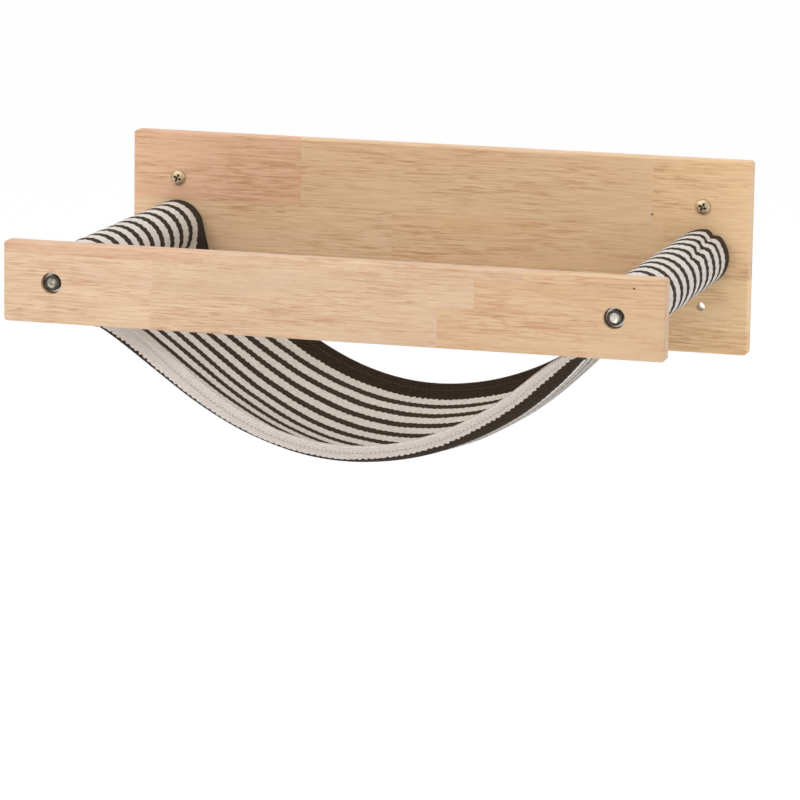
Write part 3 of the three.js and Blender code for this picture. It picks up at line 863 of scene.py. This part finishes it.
@dataclass
class WallScrew:
    """A pan-head wood screw with a cross recess, made with the wood's face on y = 0."""

    head_radius: float = 6.5 * MM
    head_height: float = 3.4 * MM
    head_rim: float = 0.8 * MM
    seat: float = 0.3 * MM
    recess_span: float = 8 * MM
    recess_floor: float = 3.4 * MM
    recess_width: float = 2.0 * MM
    recess_depth: float = 2.3 * MM
    recess_turn: float = 25.0
    crest: float = 2.5 * MM
    core: float = 1.7 * MM
    pitch: float = 2.2 * MM
    length: float = 50 * MM
    point: float = 7 * MM
    steps: int = 64
    dome_steps: int = 14

    def fit(
        self, side: Side, material: bpy.types.Material, shade: bpy.types.Material
    ) -> bpy.types.Object:
        """Places one wall screw where the CAD has it.

        Args:
            side: at which end of the board it is.
            material: its finish.
            shade: the finish inside its recess.

        Returns:
            The finished screw.
        """
        node = f"wall_screw_{side.name.lower()}"
        low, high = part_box(node)
        centre = (low + high) / 2
        wood = Vector((centre.x, low.y + self.head_height + self.seat, centre.z))
        made = bmesh.new()
        made.from_mesh(self._recessed_head())
        self._mark_recess(made)
        shank_start = -self.seat - 0.4 * MM
        thread_skin(made, self.core, self.crest, self.pitch, shank_start, self.length, 24)
        self._sharpen_point(made)
        made.transform(Matrix.Translation(wood))
        piece = finished_piece(f"{node}_threaded", made, material, [node])
        piece.data.materials.append(shade)
        sharpen(piece, 35)
        return piece

    def _recessed_head(self) -> bpy.types.Mesh:
        """Returns the domed head with its cross recess cut out."""
        head = bmesh.new()
        dome = self.head_height - self.head_rim
        rim_y = -self.seat - self.head_rim
        profile = []
        for i in range(self.dome_steps + 1):
            angle = i / self.dome_steps * math.pi / 2
            profile.append((self.head_radius * math.sin(angle), rim_y - dome * math.cos(angle)))
        profile += [(self.head_radius, -self.seat - 0.15 * MM), (self.head_radius - 0.2 * MM, -self.seat)]
        profile.append((0.0, -self.seat))
        turn(head, profile, self.steps)
        bmesh.ops.remove_doubles(head, verts=head.verts, dist=1e-7)
        bmesh.ops.recalc_face_normals(head, faces=head.faces)
        body = scratch_object("screw_head", head)
        cutters = [scratch_object("recess", self._recess_blade(turned)) for turned in (0.0, 90.0)]
        for cutter in cutters:
            cut = body.modifiers.new("recess", "BOOLEAN")
            cut.operation = "DIFFERENCE"
            cut.solver = "EXACT"
            cut.object = cutter
        ready = body.evaluated_get(bpy.context.evaluated_depsgraph_get())
        mesh = bpy.data.meshes.new_from_object(ready)
        for scratch in (body, *cutters):
            bpy.data.objects.remove(scratch)
        return mesh

    def _mark_recess(self, head: bmesh.types.BMesh) -> None:
        """Gives the second finish to the faces that lie below the dome."""
        dome = self.head_height - self.head_rim
        rim_y = -self.seat - self.head_rim
        for face in head.faces:
            centre = face.calc_center_median()
            out = min(math.hypot(centre.x, centre.z) / self.head_radius, 1.0)
            surface = rim_y - dome * math.sqrt(1 - out * out)
            inside = surface + 0.12 * MM < centre.y < rim_y and 0.13 < out < 0.7
            face.material_index = SECOND_FINISH if inside else 0

    def _recess_blade(self, turned: float) -> bmesh.types.BMesh:
        """Makes the cutter of one arm pair of the cross: a bar that tapers to the recess floor.

        Args:
            turned: its turn about the screw's axis, in degrees.

        Returns:
            The cutter.
        """
        blade = bmesh.new()
        bmesh.ops.create_cube(blade, size=1.0)
        top = -self.seat - self.head_height
        spare = 1 * MM
        slope = (self.recess_span - self.recess_floor) / 2 / self.recess_depth
        for vert in blade.verts:
            deep = vert.co.y > 0
            reach = self.recess_floor / 2 if deep else self.recess_span / 2 + slope * spare
            half = self.recess_width * (0.36 if deep else 0.5)
            y = top + self.recess_depth if deep else top - spare
            vert.co = Vector((math.copysign(reach, vert.co.x), y, math.copysign(half, vert.co.z)))
        angle = math.radians(self.recess_turn + turned)
        bmesh.ops.rotate(blade, verts=blade.verts, matrix=Matrix.Rotation(angle, 3, "Y"))
        return blade

    def _sharpen_point(self, mesh: bmesh.types.BMesh) -> None:
        """Draws the end of the thread out to a point."""
        for vert in mesh.verts:
            left = (self.length - vert.co.y) / self.point
            if left < 1:
                narrow = max(left, 0.04)
                vert.co.x *= narrow
                vert.co.z *= narrow


def scratch_object(name: str, mesh: bmesh.types.BMesh) -> bpy.types.Object:
    """Makes a short-lived object from a mesh, for a Boolean cut."""
    data = bpy.data.meshes.new(name)
    mesh.to_mesh(data)
    mesh.free()
    made = bpy.data.objects.new(name, data)
    bpy.context.scene.collection.objects.link(made)
    return made


# ------------------------------------------------------------------ canvas


class Zone(Enum):
    """The stretches of the cloth, in order from its left end to its right end."""

    LEFT_LAP = 0
    LEFT_UNDER = 1
    LEFT_TURN = 2
    LEFT_OVER = 3
    PANEL = 4
    RIGHT_OVER = 5
    RIGHT_TURN = 6
    RIGHT_UNDER = 7
    RIGHT_LAP = 8


@dataclass(frozen=True)
class Station:
    """One place round the cloth's section.

    Attributes:
        zone: the stretch it is in.
        part: how far along that stretch, from zero to one.
    """

    zone: Zone
    part: float


@dataclass(frozen=True)
class Lip:
    """A free edge of the panel that stands up.

    Attributes:
        tilt: its angle to the level in degrees, at the left seam, the middle and the right seam.
        width: its width on the cloth at the same three places.
    """

    tilt: tuple[float, float, float]
    width: tuple[float, float, float]


def three_point(values: tuple[float, float, float], t: float) -> float:
    """Follows the parabola through three values at t = 0, a half and one."""
    first, middle, last = values
    return first * (1 - t) * (1 - 2 * t) + 4 * middle * t * (1 - t) + last * t * (2 * t - 1)


def arch(t: float) -> float:
    """A parabola that is zero at both ends and one half way."""
    return 4 * t * (1 - t)


def smooth_step(t: float) -> float:
    """Zero up to t = 0, one from t = 1 on, with a soft rise between."""
    t = min(max(t, 0.0), 1.0)
    return t * t * (3 - 2 * t)


@dataclass(frozen=True)
class SlackFold:
    """The fold of spare cloth on the right sleeve: a valley between two soft swells.

    It starts at the rear hem and runs forward and outward over the top of the rod.

    Attributes:
        angle_rear: where the valley is at the rear hem, in degrees above level, seen from the rod.
        angle_slope: how far it drifts in degrees to each metre forward.
        reach: how far forward it runs.
        depth: depth of the valley.
        width: its half width.
        swell: height of the swells at its sides.
    """

    angle_rear: float = 63.0
    angle_slope: float = -150.0
    reach: float = 0.125
    depth: float = 2.4 * MM
    width: float = 3.4 * MM
    swell: float = 1.7 * MM

    def lift(self, place: Vector, along: float, canvas: "HammockCanvas") -> float:
        """How far the fold lifts the sleeve off the rod.

        Args:
            place: a place on the smooth sleeve.
            along: its distance from the front edge.
            canvas: the cloth.

        Returns:
            The lift, which is negative in the valley.
        """
        from_rear = canvas.width - along
        valley = math.radians(self.angle_rear + self.angle_slope * from_rear)
        angle = math.atan2(place.z, place.x - canvas.rod_x)
        off = (angle - valley) * canvas.sleeve_radius / self.width
        fade = 1 - smooth_step((from_rear - 0.7 * self.reach) / (0.5 * self.reach))
        swell = self.swell * math.exp(-((off / 2.6) ** 2))
        return fade * (swell - (self.depth + self.swell) * math.exp(-(off**2)))


@dataclass
class HammockCanvas:
    """The striped cloth: one strip whose ends go over the rods and are sewn to its underside.

    The strip's own coordinates are a station round the section and the distance from the
    front edge. Lengths are in metres and angles in degrees.
    """

    thickness: float = 1.1 * MM
    end_gap: float = 1 * MM
    sleeve_clearance: float = 2.3 * MM
    seam_reach: float = 14 * MM
    seam_angle_left: float = 78.0
    seam_angle_right: float = 54.0
    seam_drift: float = -12.0
    drift_power: int = 4
    sag: float = 106 * MM
    ease_left: float = 0.64
    ease_right: float = 0.39
    ease_power: float = 5.0
    belly: float = 16 * MM
    lip_rounding: float = 3 * MM
    lip_fade_power: int = 12
    front_lip: Lip = Lip((103.0, 55.0, 53.0), (18.7 * MM, 18.5 * MM, 27 * MM))
    rear_lip: Lip = Lip((62.0, 58.0, 62.0), (16 * MM, 16 * MM, 16 * MM))
    flare_left: float = 25 * MM
    flare_right: float = 8 * MM
    flare_length: float = 20 * MM
    flare_power: int = 7
    hem_width: float = 7.6 * MM
    hem_fold: float = 0.6 * MM
    hem_line: float = 6.4 * MM
    hem_swell: float = 0.6 * MM
    lap_width: float = 12 * MM
    panel_stations: int = 100
    flap_stations: int = 10
    turn_stations: int = 36
    lap_stations: int = 5
    lip_zone: float = 32 * MM
    lip_spacing: float = 1.5 * MM
    belly_spacing: float = 3.4 * MM
    seam_rounding: int = 3
    slack: SlackFold = SlackFold()

    def __post_init__(self) -> None:
        """Takes the places of the rods, the rail and the board from the frame."""
        low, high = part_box("dowel_right")
        self.rod_x = (low.x + high.x) / 2
        self.rod_radius = (high.x - low.x) / 2
        self.front_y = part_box("front_rail")[1].y + self.end_gap
        self.rear_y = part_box("back_board")[0].y - self.end_gap
        self.width = self.rear_y - self.front_y
        self.sleeve_radius = self.rod_radius + self.sleeve_clearance
        self.seams = {side: self.seam_rest(side) for side in Side}
        self.drift = self.seam_rest(Side.RIGHT, self.seam_drift) - self.seams[Side.RIGHT]
        self.sections = {}
        outline = [self.trough(i / 40) for i in range(41)]
        self.panel_length = sum((two - one).length for one, two in zip(outline, outline[1:]))

    # The middle surface of the cloth.

    def seam_rest(self, side: Side, further: float = 0.0) -> Vector:
        """Where the seam of one sleeve hangs, away from the lips, so many degrees further round."""
        angle = self.seam_angle_left if side is Side.LEFT else self.seam_angle_right
        angle = math.radians(angle + further)
        reach = self.rod_radius + self.seam_reach
        return Vector((side.value * (self.rod_x - reach * math.cos(angle)), 0.0, -reach * math.sin(angle)))

    def trough(self, across: float) -> Vector:
        """The trough's outline in the plane across the rods.

        Args:
            across: zero at the left seam and one at the right seam.

        Returns:
            The place in that plane.
        """
        place = self.seams[Side.LEFT].lerp(self.seams[Side.RIGHT], across)
        left = self.ease_left * max(1 - across, 0.0) ** self.ease_power
        right = self.ease_right * max(across, 0.0) ** self.ease_power
        place.z -= self.sag * arch(across) * (1 - left + right)
        return place

    def lip_shift(self, lip: Lip, across: float, from_edge: float) -> tuple[float, float]:
        """How far a lip lifts the cloth, and how far it draws the free edge in.

        Args:
            lip: the lip.
            across: place between the seams.
            from_edge: distance from the free edge, on the cloth.

        Returns:
            The lift and the draw.
        """
        tilt = math.radians(three_point(lip.tilt, across))
        distance = three_point(lip.width, across) - from_edge
        fade = 1 - (1 - 2 * across) ** self.lip_fade_power
        ramp = fade * (distance + math.hypot(distance, self.lip_rounding)) / 2
        return math.sin(tilt) * ramp, (1 - math.cos(tilt)) * ramp

    def panel(self, across: float, along: float) -> Vector:
        """The panel between the seams.

        Args:
            across: zero at the left seam and one at the right seam.
            along: distance from the front edge, on the cloth.

        Returns:
            The place.
        """
        if across not in self.sections:
            step = 1e-3
            slope = (self.trough(across + step) - self.trough(across - step)).normalized()
            self.sections[across] = (self.trough(across), Vector((-slope.z, 0.0, slope.x)))
        rest, up = self.sections[across]
        front_lift, front_draw = self.lip_shift(self.front_lip, across, along)
        rear_lift, rear_draw = self.lip_shift(self.rear_lip, across, self.width - along)
        place = rest + up * (front_lift + rear_lift)
        place.x += self.flare(across, along)
        place += self.drift * (max(across, 0.0) ** self.drift_power * along / self.width)
        place.z -= self.belly * arch(across) * math.sin(math.pi * along / self.width) ** 2
        place.y = self.front_y + along + front_draw - rear_draw
        return place

    def flare(self, across: float, along: float) -> float:
        """How far the ends of the seams are pulled in by the tight free edges, along X."""
        from_edge = max(min(along, self.width - along), 0.0)
        pull = math.exp(-((from_edge / self.flare_length) ** 1.5))
        left = self.flare_left * max(1 - across, 0.0) ** self.flare_power
        right = self.flare_right * max(across, 0.0) ** self.flare_power
        return pull * (left - right)

    def lap_drop(self, along: float) -> float:
        """How far the sewn-down end lies below the panel: further where both are hemmed."""
        from_edge = min(along, self.width - along)
        hemmed = 1 - smooth_step((from_edge - self.hem_width) / (5 * MM))
        layer = self.thickness + 0.1 * MM
        return layer * (1 + hemmed)

    def under_panel(self, across: float, along: float) -> Vector:
        """A place just below the panel, where the sewn-down end lies."""
        step = 1e-3
        near = self.panel(across - step, along)
        far = self.panel(across + step, along)
        front = self.panel(across, along - 0.5 * MM)
        rear = self.panel(across, along + 0.5 * MM)
        up = (far - near).cross(rear - front).normalized()
        return self.panel(across, along) - up * self.lap_drop(along)

    def round_rod(self, side: Side, zone: Zone, part: float, along: float) -> Vector:
        """One sleeve: the flap under the rod, the turn round it and the flap over it.

        Args:
            side: which rod it goes round.
            zone: which of the three stretches.
            part: zero to one, from the underside to the top side.
            along: distance from the front edge.

        Returns:
            The place.
        """
        end = 0.0 if side is Side.LEFT else 1.0
        upper_seam = self.panel(end, along)
        lower_seam = self.under_panel(end, along)
        y = self.front_y + along

        def bearing(seam: Vector, sign: int) -> float:
            """The angle at which a flap from the seam meets the rod."""
            dx = side.value * (seam.x - side.value * self.rod_x)
            spread = math.acos(self.sleeve_radius / math.hypot(dx, seam.z))
            return math.atan2(seam.z, dx) + sign * spread

        def on_rod(angle: float) -> Vector:
            """The place on the turn at an angle."""
            x = side.value * (self.rod_x + self.sleeve_radius * math.cos(angle))
            return Vector((x, y, self.sleeve_radius * math.sin(angle)))

        lower = bearing(lower_seam, 1)
        upper = bearing(upper_seam, -1) + math.tau
        if zone in (Zone.LEFT_UNDER, Zone.RIGHT_UNDER):
            return lower_seam.lerp(on_rod(lower), part)
        if zone in (Zone.LEFT_OVER, Zone.RIGHT_OVER):
            return on_rod(upper).lerp(upper_seam, part)
        return on_rod(lower + (upper - lower) * part)

    def place(self, station: Station, along: float) -> Vector:
        """The middle surface of the cloth, without its creases.

        Args:
            station: place round the section.
            along: distance from the front edge.

        Returns:
            The place.
        """
        zone, part = station.zone, station.part
        lap = self.lap_width / self.panel_length
        if zone is Zone.PANEL:
            crowded = part - 0.12 * math.sin(math.tau * part)
            return self.panel(crowded, along)
        if zone is Zone.LEFT_LAP:
            return self.under_panel(lap * (1 - part), along)
        if zone is Zone.RIGHT_LAP:
            return self.under_panel(1 - lap * part, along)
        if zone.value < Zone.PANEL.value:
            return self.round_rod(Side.LEFT, zone, part, along)
        return self.round_rod(Side.RIGHT, zone, 1 - part, along)

    def stations(self) -> list[Station]:
        """Returns the stations round the section, from the left end to the right end."""
        counts = {
            Zone.LEFT_LAP: self.lap_stations,
            Zone.LEFT_UNDER: self.flap_stations,
            Zone.LEFT_TURN: self.turn_stations,
            Zone.LEFT_OVER: self.flap_stations,
            Zone.PANEL: self.panel_stations,
            Zone.RIGHT_OVER: self.flap_stations,
            Zone.RIGHT_TURN: self.turn_stations,
            Zone.RIGHT_UNDER: self.flap_stations,
            Zone.RIGHT_LAP: self.lap_stations,
        }
        made = [Station(zone, i / count) for zone, count in counts.items() for i in range(count)]
        return [*made, Station(Zone.RIGHT_LAP, 1.0)]

    def rows(self) -> list[tuple[float, float]]:
        """Returns the rows of the mesh: distance from the front edge, and drop below the face.

        The first and the last rows lie on the hems, which are folded under.
        """
        fold = self.hem_fold
        hem = []
        for i in range(6):
            along = self.hem_width - i / 6 * (self.hem_width - fold)
            swell = math.sin(math.pi * min(along / self.hem_line, 1.0)) * self.hem_swell
            hem.append((along, 2 * fold + swell))
        for i in range(6):
            angle = i / 6 * math.pi
            hem.append((fold * (1 - math.sin(angle)), fold * (1 + math.cos(angle))))
        lips = round((self.lip_zone - fold) / self.lip_spacing)
        front = [fold + i / lips * (self.lip_zone - fold) for i in range(lips)]
        span = self.width - 2 * self.lip_zone
        count = round(span / self.belly_spacing)
        middle = [self.lip_zone + i / count * span for i in range(count + 1)]
        behind = [self.width - along for along in reversed(front)]
        face = [(along, 0.0) for along in (*front, *middle, *behind)]
        rear = [(self.width - along, drop) for along, drop in reversed(hem)]
        return [*hem, *face, *rear]

    def crease(self, place: Vector, station: Station, along: float) -> float:
        """How far a crease or pucker stands off the smooth cloth, at one place."""
        lumps = noise.noise(Vector((place.x / 0.045, along / 0.028, place.z / 0.045)))
        if station.zone is Zone.PANEL:
            near_seam = math.exp(-min(station.part, 1 - station.part) / 0.07)
            gathers = noise.noise(Vector((station.part * 3.0, along / 0.014, 5.0)))
            return (0.5 * lumps + 1.1 * near_seam * gathers) * MM
        if station.zone is Zone.RIGHT_TURN:
            return 0.5 * lumps * MM + self.slack.lift(place, along, self)
        return 0.35 * lumps * MM

    def grid(self) -> tuple[list[Station], list[tuple[float, float]], list[list[Vector]]]:
        """Works out every corner of the cloth's mesh.

        Returns:
            The stations, the rows, and the corner for each station and row.
        """
        stations, rows = self.stations(), self.rows()
        near = [max(along - MM, 0.0) for along, _ in rows]
        far = [min(along + MM, self.width) for along, _ in rows]
        smooth = [[self.place(station, along) for along, _ in rows] for station in stations]
        self._round_seams(stations, smooth)
        corners = []
        for i, station in enumerate(stations):
            before, after = smooth[max(i - 1, 0)], smooth[min(i + 1, len(stations) - 1)]
            corners.append([])
            for j, (along, drop) in enumerate(rows):
                run = self.place(station, far[j]) - self.place(station, near[j])
                up = (after[j] - before[j]).cross(run).normalized()
                lift = self.crease(smooth[i][j], station, along) - drop
                corners[-1].append(smooth[i][j] + up * lift)
        return stations, rows, corners

    def _round_seams(self, stations: list[Station], corners: list[list[Vector]]) -> None:
        """Softens the sharp turn of the cloth where each upper flap meets the panel.

        Args:
            stations: the stations round the section.
            corners: the corners at each station and row, which are changed.
        """
        reach = 2
        for zone in (Zone.PANEL, Zone.RIGHT_OVER):
            seam = next(i for i, station in enumerate(stations) if station.zone is zone)
            for _ in range(self.seam_rounding):
                window = range(seam - reach, seam + reach + 1)
                softer = {}
                for i in window:
                    rows = zip(corners[i - 1], corners[i], corners[i + 1])
                    softer[i] = [(a + b * 2 + c) / 4 for a, b, c in rows]
                for i, row in softer.items():
                    corners[i] = row

    def build(self, material: bpy.types.Material) -> tuple[bpy.types.Object, "ClothMap"]:
        """Builds the cloth.

        Args:
            material: its finish.

        Returns:
            The piece, and the map from the flat cloth to its surface.
        """
        stations, rows, corners = self.grid()
        middle = min(range(len(rows)), key=lambda j: abs(rows[j][0] - self.width / 2))
        distances = [0.0]
        for one, two in zip(corners, corners[1:]):
            distances.append(distances[-1] + (two[middle] - one[middle]).length)
        cloth = bmesh.new()
        columns, lines = len(stations) - 1, len(rows) - 1
        bmesh.ops.create_grid(cloth, x_segments=columns, y_segments=lines, size=1.0)
        flat = cloth.loops.layers.uv.new("flat")
        index = {
            vert: (round((vert.co.x + 1) / 2 * columns), round((vert.co.y + 1) / 2 * lines))
            for vert in cloth.verts
        }
        for face in cloth.faces:
            for loop in face.loops:
                i, j = index[loop.vert]
                loop[flat].uv = (distances[i], rows[j][0])
        for vert, (i, j) in index.items():
            vert.co = corners[i][j]
        piece = finished_piece("striped_canvas_cloth", cloth, material, ["hammock_canvas"])
        body = piece.modifiers.new("thickness", "SOLIDIFY")
        body.thickness = self.thickness
        body.offset = 0.0
        return piece, ClothMap(stations, distances, rows, corners)


@dataclass
class ClothMap:
    """Finds places on the finished cloth from places on the flat one."""

    stations: list[Station]
    distances: list[float]
    rows: list[tuple[float, float]]
    corners: list[list[Vector]]

    @property
    def length(self) -> float:
        """Length of the cloth round the whole section."""
        return self.distances[-1]

    @cached_property
    def face(self) -> tuple[int, list[float]]:
        """The first row on the face, past the hem's fold, and the place of each row there."""
        numbers = [j for j, (_, drop) in enumerate(self.rows) if drop == 0.0]
        return numbers[0], [self.rows[j][0] for j in numbers]

    def seam_distance(self, zone: Zone) -> float:
        """Distance at which a stretch of the cloth starts."""
        return next(d for d, s in zip(self.distances, self.stations) if s.zone is zone)

    def frame_at(self, across: float, along: float) -> Matrix:
        """A place on the cloth's face, with its directions.

        Args:
            across: distance round the section.
            along: distance from the front edge.

        Returns:
            A matrix with X round the section, Y along the rods and Z off the top side.
        """
        i = min(bisect_right(self.distances, across) - 1, len(self.distances) - 2)
        first, alongs = self.face
        j = first + min(max(bisect_right(alongs, along) - 1, 0), len(alongs) - 2)
        s = (across - self.distances[i]) / (self.distances[i + 1] - self.distances[i])
        t = (along - self.rows[j][0]) / (self.rows[j + 1][0] - self.rows[j][0])
        near = self.corners[i][j].lerp(self.corners[i + 1][j], s)
        far = self.corners[i][j + 1].lerp(self.corners[i + 1][j + 1], s)
        x_axis = (self.corners[i + 1][j] - self.corners[i][j]).normalized()
        z_axis = x_axis.cross(far - near).normalized()
        y_axis = z_axis.cross(x_axis)
        made = Matrix.Identity(4)
        for column, axis in enumerate((x_axis, y_axis, z_axis, near.lerp(far, t))):
            for line in range(3):
                made[line][column] = axis[line]
        return made


@dataclass
class Stitching:
    """Rows of lockstitch: short thread beads that stand a little out of the cloth."""

    length: float = 3.0 * MM
    pitch: float = 3.9 * MM
    thread: float = 0.75 * MM

    def beads(self, places: Iterable[Matrix]) -> bmesh.types.BMesh:
        """Makes one bead of thread at each place, lying along the place's X."""
        size = Matrix.Diagonal((self.length, self.thread, self.thread * 0.7, 1.0))
        one, row = bmesh.new(), bmesh.new()
        bmesh.ops.create_uvsphere(one, u_segments=6, v_segments=6, radius=0.5, matrix=size)
        data = bpy.data.meshes.new("bead")
        for at in places:
            placed = one.copy()
            placed.transform(at)
            placed.to_mesh(data)
            placed.free()
            row.from_mesh(data)
        one.free()
        bpy.data.meshes.remove(data)
        return row

    def hem(self, cloth: ClothMap, along: float, off: Sequence[float]) -> bmesh.types.BMesh:
        """Sews along a hem, on both faces.

        Args:
            cloth: the finished cloth.
            along: the row's distance from the front edge.
            off: how far off the middle surface the stitches lie, on each face.

        Returns:
            The stitches.
        """
        count = int(cloth.length / self.pitch)
        spots = [cloth.frame_at((k + 0.5) * self.pitch, along) for k in range(count)]
        return self.beads(at @ Matrix.Translation((0, 0, side)) for at in spots for side in off)

    def seam(self, cloth: ClothMap, width: float, places: Sequence[float], off: Sequence[float]) -> bmesh.types.BMesh:
        """Sews across the cloth, along the rods.

        Args:
            cloth: the finished cloth.
            width: the cloth's width.
            places: distances round the section of the rows.
            off: how far off the middle surface the stitches lie, on each face.

        Returns:
            The stitches.
        """
        count = int((width - 4 * MM) / self.pitch)
        alongs = [2 * MM + (k + 0.5) * self.pitch for k in range(count)]
        turned = Matrix.Rotation(math.pi / 2, 4, "Z")
        spots = [cloth.frame_at(across, along) @ turned for across in places for along in alongs]
        return self.beads(at @ Matrix.Translation((0, 0, side)) for at in spots for side in off)


# ------------------------------------------------------------------ the assembly


@dataclass
class Timber:
    """The board, the rail and the rods, which keep their CAD shapes."""

    def dress(self) -> None:
        """Gives each wooden node its finish."""
        self._paint(["back_board"], BOARD_WOOD.material())
        self._paint(["front_rail"], RAIL_WOOD.material())
        self._paint(["dowel_left", "dowel_right"], ROD_WOOD.material())

    @staticmethod
    def _paint(nodes: Sequence[str], material: bpy.types.Material) -> None:
        """Puts one material on CAD nodes."""
        for node in nodes:
            dress_node(node, material)


def dress_node(node: str, material: bpy.types.Material) -> None:
    """Puts a material on a CAD node that stays."""
    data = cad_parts[node].data
    data.materials.clear()
    data.materials.append(material)
    LOG.info("%s: dressed with %s", node, material.name)


@dataclass
class Fasteners:
    """Bolts, washers, inserts and wall screws."""

    def build(self) -> None:
        """Makes the bolts and screws, and dresses the washers and inserts."""
        nickel, socket_highlight, zinc = NICKEL.material(), SOCKET_HIGHLIGHT_NICKEL.material(), ZINC.material()
        yellow, shade = YELLOW_ZINC.material(), RECESS_SHADE.material()
        bolt, screw = SocketBolt(), WallScrew()
        for side in Side:
            screw.fit(side, yellow, shade)
            for end in End:
                place = f"{side.name.lower()}_{end.name.lower()}"
                bolt.fit(side, end, nickel, socket_highlight)
                dress_node(f"washer_{place}", zinc)
                dress_node(f"insert_{place}", zinc)


@dataclass
class Sling:
    """The canvas with its stitching."""

    canvas: HammockCanvas
    stitching: Stitching

    def build(self) -> None:
        """Makes the cloth and its stitches, and logs the size of the cloth's cut."""
        canvas = self.canvas
        finish = StripedCanvas(width=canvas.width)
        cloth, cloth_map = canvas.build(finish.material())
        face = canvas.thickness / 2 + 0.1 * MM
        fold = 2 * canvas.hem_fold + face
        line = canvas.hem_line
        pale, dark = PALE_THREAD.material(), DARK_THREAD.material()
        left = cloth_map.seam_distance(Zone.PANEL)
        right = cloth_map.seam_distance(Zone.RIGHT_OVER)
        rows = [left + 4 * MM, left + 9 * MM, right - 9 * MM, right - 4 * MM]
        lap = canvas.lap_drop(canvas.width / 2) + face
        sewn = [
            self._sew("front_hem_stitches", self.stitching.hem(cloth_map, line, (face, -fold)), pale),
            self._sew("rear_hem_stitches", self.stitching.hem(cloth_map, canvas.width - line, (face, -fold)), dark),
            self._sew("sleeve_seam_stitches", self.stitching.seam(cloth_map, canvas.width, rows, (face, -lap)), pale),
        ]
        cut = (canvas.width + 2 * canvas.hem_width, cloth_map.length)
        LOG.info("canvas cut %.0f x %.0f mm", cut[0] / MM, cut[1] / MM)

    @staticmethod
    def _sew(name: str, mesh: bmesh.types.BMesh, material: bpy.types.Material) -> bpy.types.Object:
        """Finishes one set of stitches."""
        return finished_piece(name, mesh, material)


# ------------------------------------------------------------------ camera, floor and light


@dataclass(frozen=True)
class PhotoCamera:
    """The camera at the photograph's angle: the side in X, the height and the turn in degrees."""

    azimuth: float = 15.614
    elevation: float = 10.844
    roll: float = 0.868
    distance: float = 3.96326
    target: tuple[float, float, float] = (0.01052, -0.160, -0.11244)
    focal_pixels: float = 4736.68
    picture_pixels: float = 800.0
    sensor: float = 36.0

    def place(self) -> bpy.types.Object:
        """Makes the camera and returns it."""
        az, el, roll = (math.radians(v) for v in (self.azimuth, self.elevation, self.roll))
        ahead = Vector((-math.sin(az) * math.cos(el), math.cos(az) * math.cos(el), -math.sin(el)))
        level = Vector((math.cos(az), math.sin(az), 0.0))
        above = level.cross(ahead)
        right = level * math.cos(roll) + above * math.sin(roll)
        up = above * math.cos(roll) - level * math.sin(roll)
        data = bpy.data.cameras.new("photo_camera")
        data.sensor_width = self.sensor
        data.lens = self.focal_pixels / self.picture_pixels * self.sensor
        camera = bpy.data.objects.new("photo_camera", data)
        turned = Matrix((right, up, -ahead)).transposed().to_4x4()
        camera.matrix_world = Matrix.Translation(Vector(self.target) - ahead * self.distance) @ turned
        bpy.context.scene.collection.objects.link(camera)
        bpy.context.scene.camera = camera
        return camera


@dataclass(frozen=True)
class SoftBox:
    """One soft area light that looks at the hammock."""

    name: str
    place: tuple[float, float, float]
    width: float
    power: float
    tint: str = "#FFFFFF"

    def hang(self) -> None:
        """Makes the light and turns it to the hammock."""
        data = bpy.data.lights.new(self.name, "AREA")
        data.shape = "SQUARE"
        data.size = self.width
        data.energy = self.power
        data.color = paint(self.tint)[:3]
        lamp = bpy.data.objects.new(self.name, data)
        lamp.location = self.place
        towards = Vector((0.0, -0.15, -0.03)) - Vector(self.place)
        lamp.rotation_euler = towards.to_track_quat("-Z", "Y").to_euler()
        bpy.context.scene.collection.objects.link(lamp)


@dataclass(frozen=True)
class Studio:
    """A pale floor far below, a pale surround and soft lights."""

    floor_level: float = -1.1
    floor_radius: float = 30.0
    surround: str = "#FAFAFA"
    surround_power: float = 1.05
    lights: tuple[SoftBox, ...] = (
        SoftBox("key_light", (-1.5, -2.4, 1.9), 1.2, 30.0, "#FFFAF2"),
        SoftBox("top_light", (0.3, -0.8, 2.3), 1.4, 12.0, "#FFFDF8"),
        SoftBox("fill_light", (2.2, -2.0, 0.6), 1.8, 5.0, "#F5F8FF"),
    )

    def build(self) -> None:
        """Makes the floor, the surround and the lights."""
        floor_mesh = bmesh.new()
        bmesh.ops.create_circle(floor_mesh, cap_ends=True, segments=96, radius=self.floor_radius)
        bmesh.ops.translate(floor_mesh, verts=floor_mesh.verts, vec=(0, 0, self.floor_level))
        data = bpy.data.meshes.new("studio_floor")
        floor_mesh.to_mesh(data)
        floor_mesh.free()
        data.materials.append(self._floor_finish())
        floor = bpy.data.objects.new("studio_floor", data)
        bpy.context.scene.collection.objects.link(floor)
        world = bpy.data.worlds.new("pale_surround")
        world.use_nodes = True
        sky = world.node_tree.nodes["Background"]
        sky.inputs["Color"].default_value = paint(self.surround)
        sky.inputs["Strength"].default_value = self.surround_power
        bpy.context.scene.world = world
        for light in self.lights:
            light.hang()
        bpy.context.scene.view_settings.view_transform = "Standard"

    @staticmethod
    def _floor_finish() -> bpy.types.Material:
        """Returns a plain pale matt finish."""
        return Bench("floor_paint").finish(Base_Color=paint("#FDFDFE"), Roughness=0.9)


def main() -> None:
    """Builds the camera, the studio and the hammock in order."""
    logging.basicConfig(level=logging.INFO, format="%(name)s %(message)s")
    PhotoCamera().place()
    Studio().build()
    Timber().dress()
    Fasteners().build()
    Sling(HammockCanvas(), Stitching()).build()


if __name__ == "__main__":
    main()
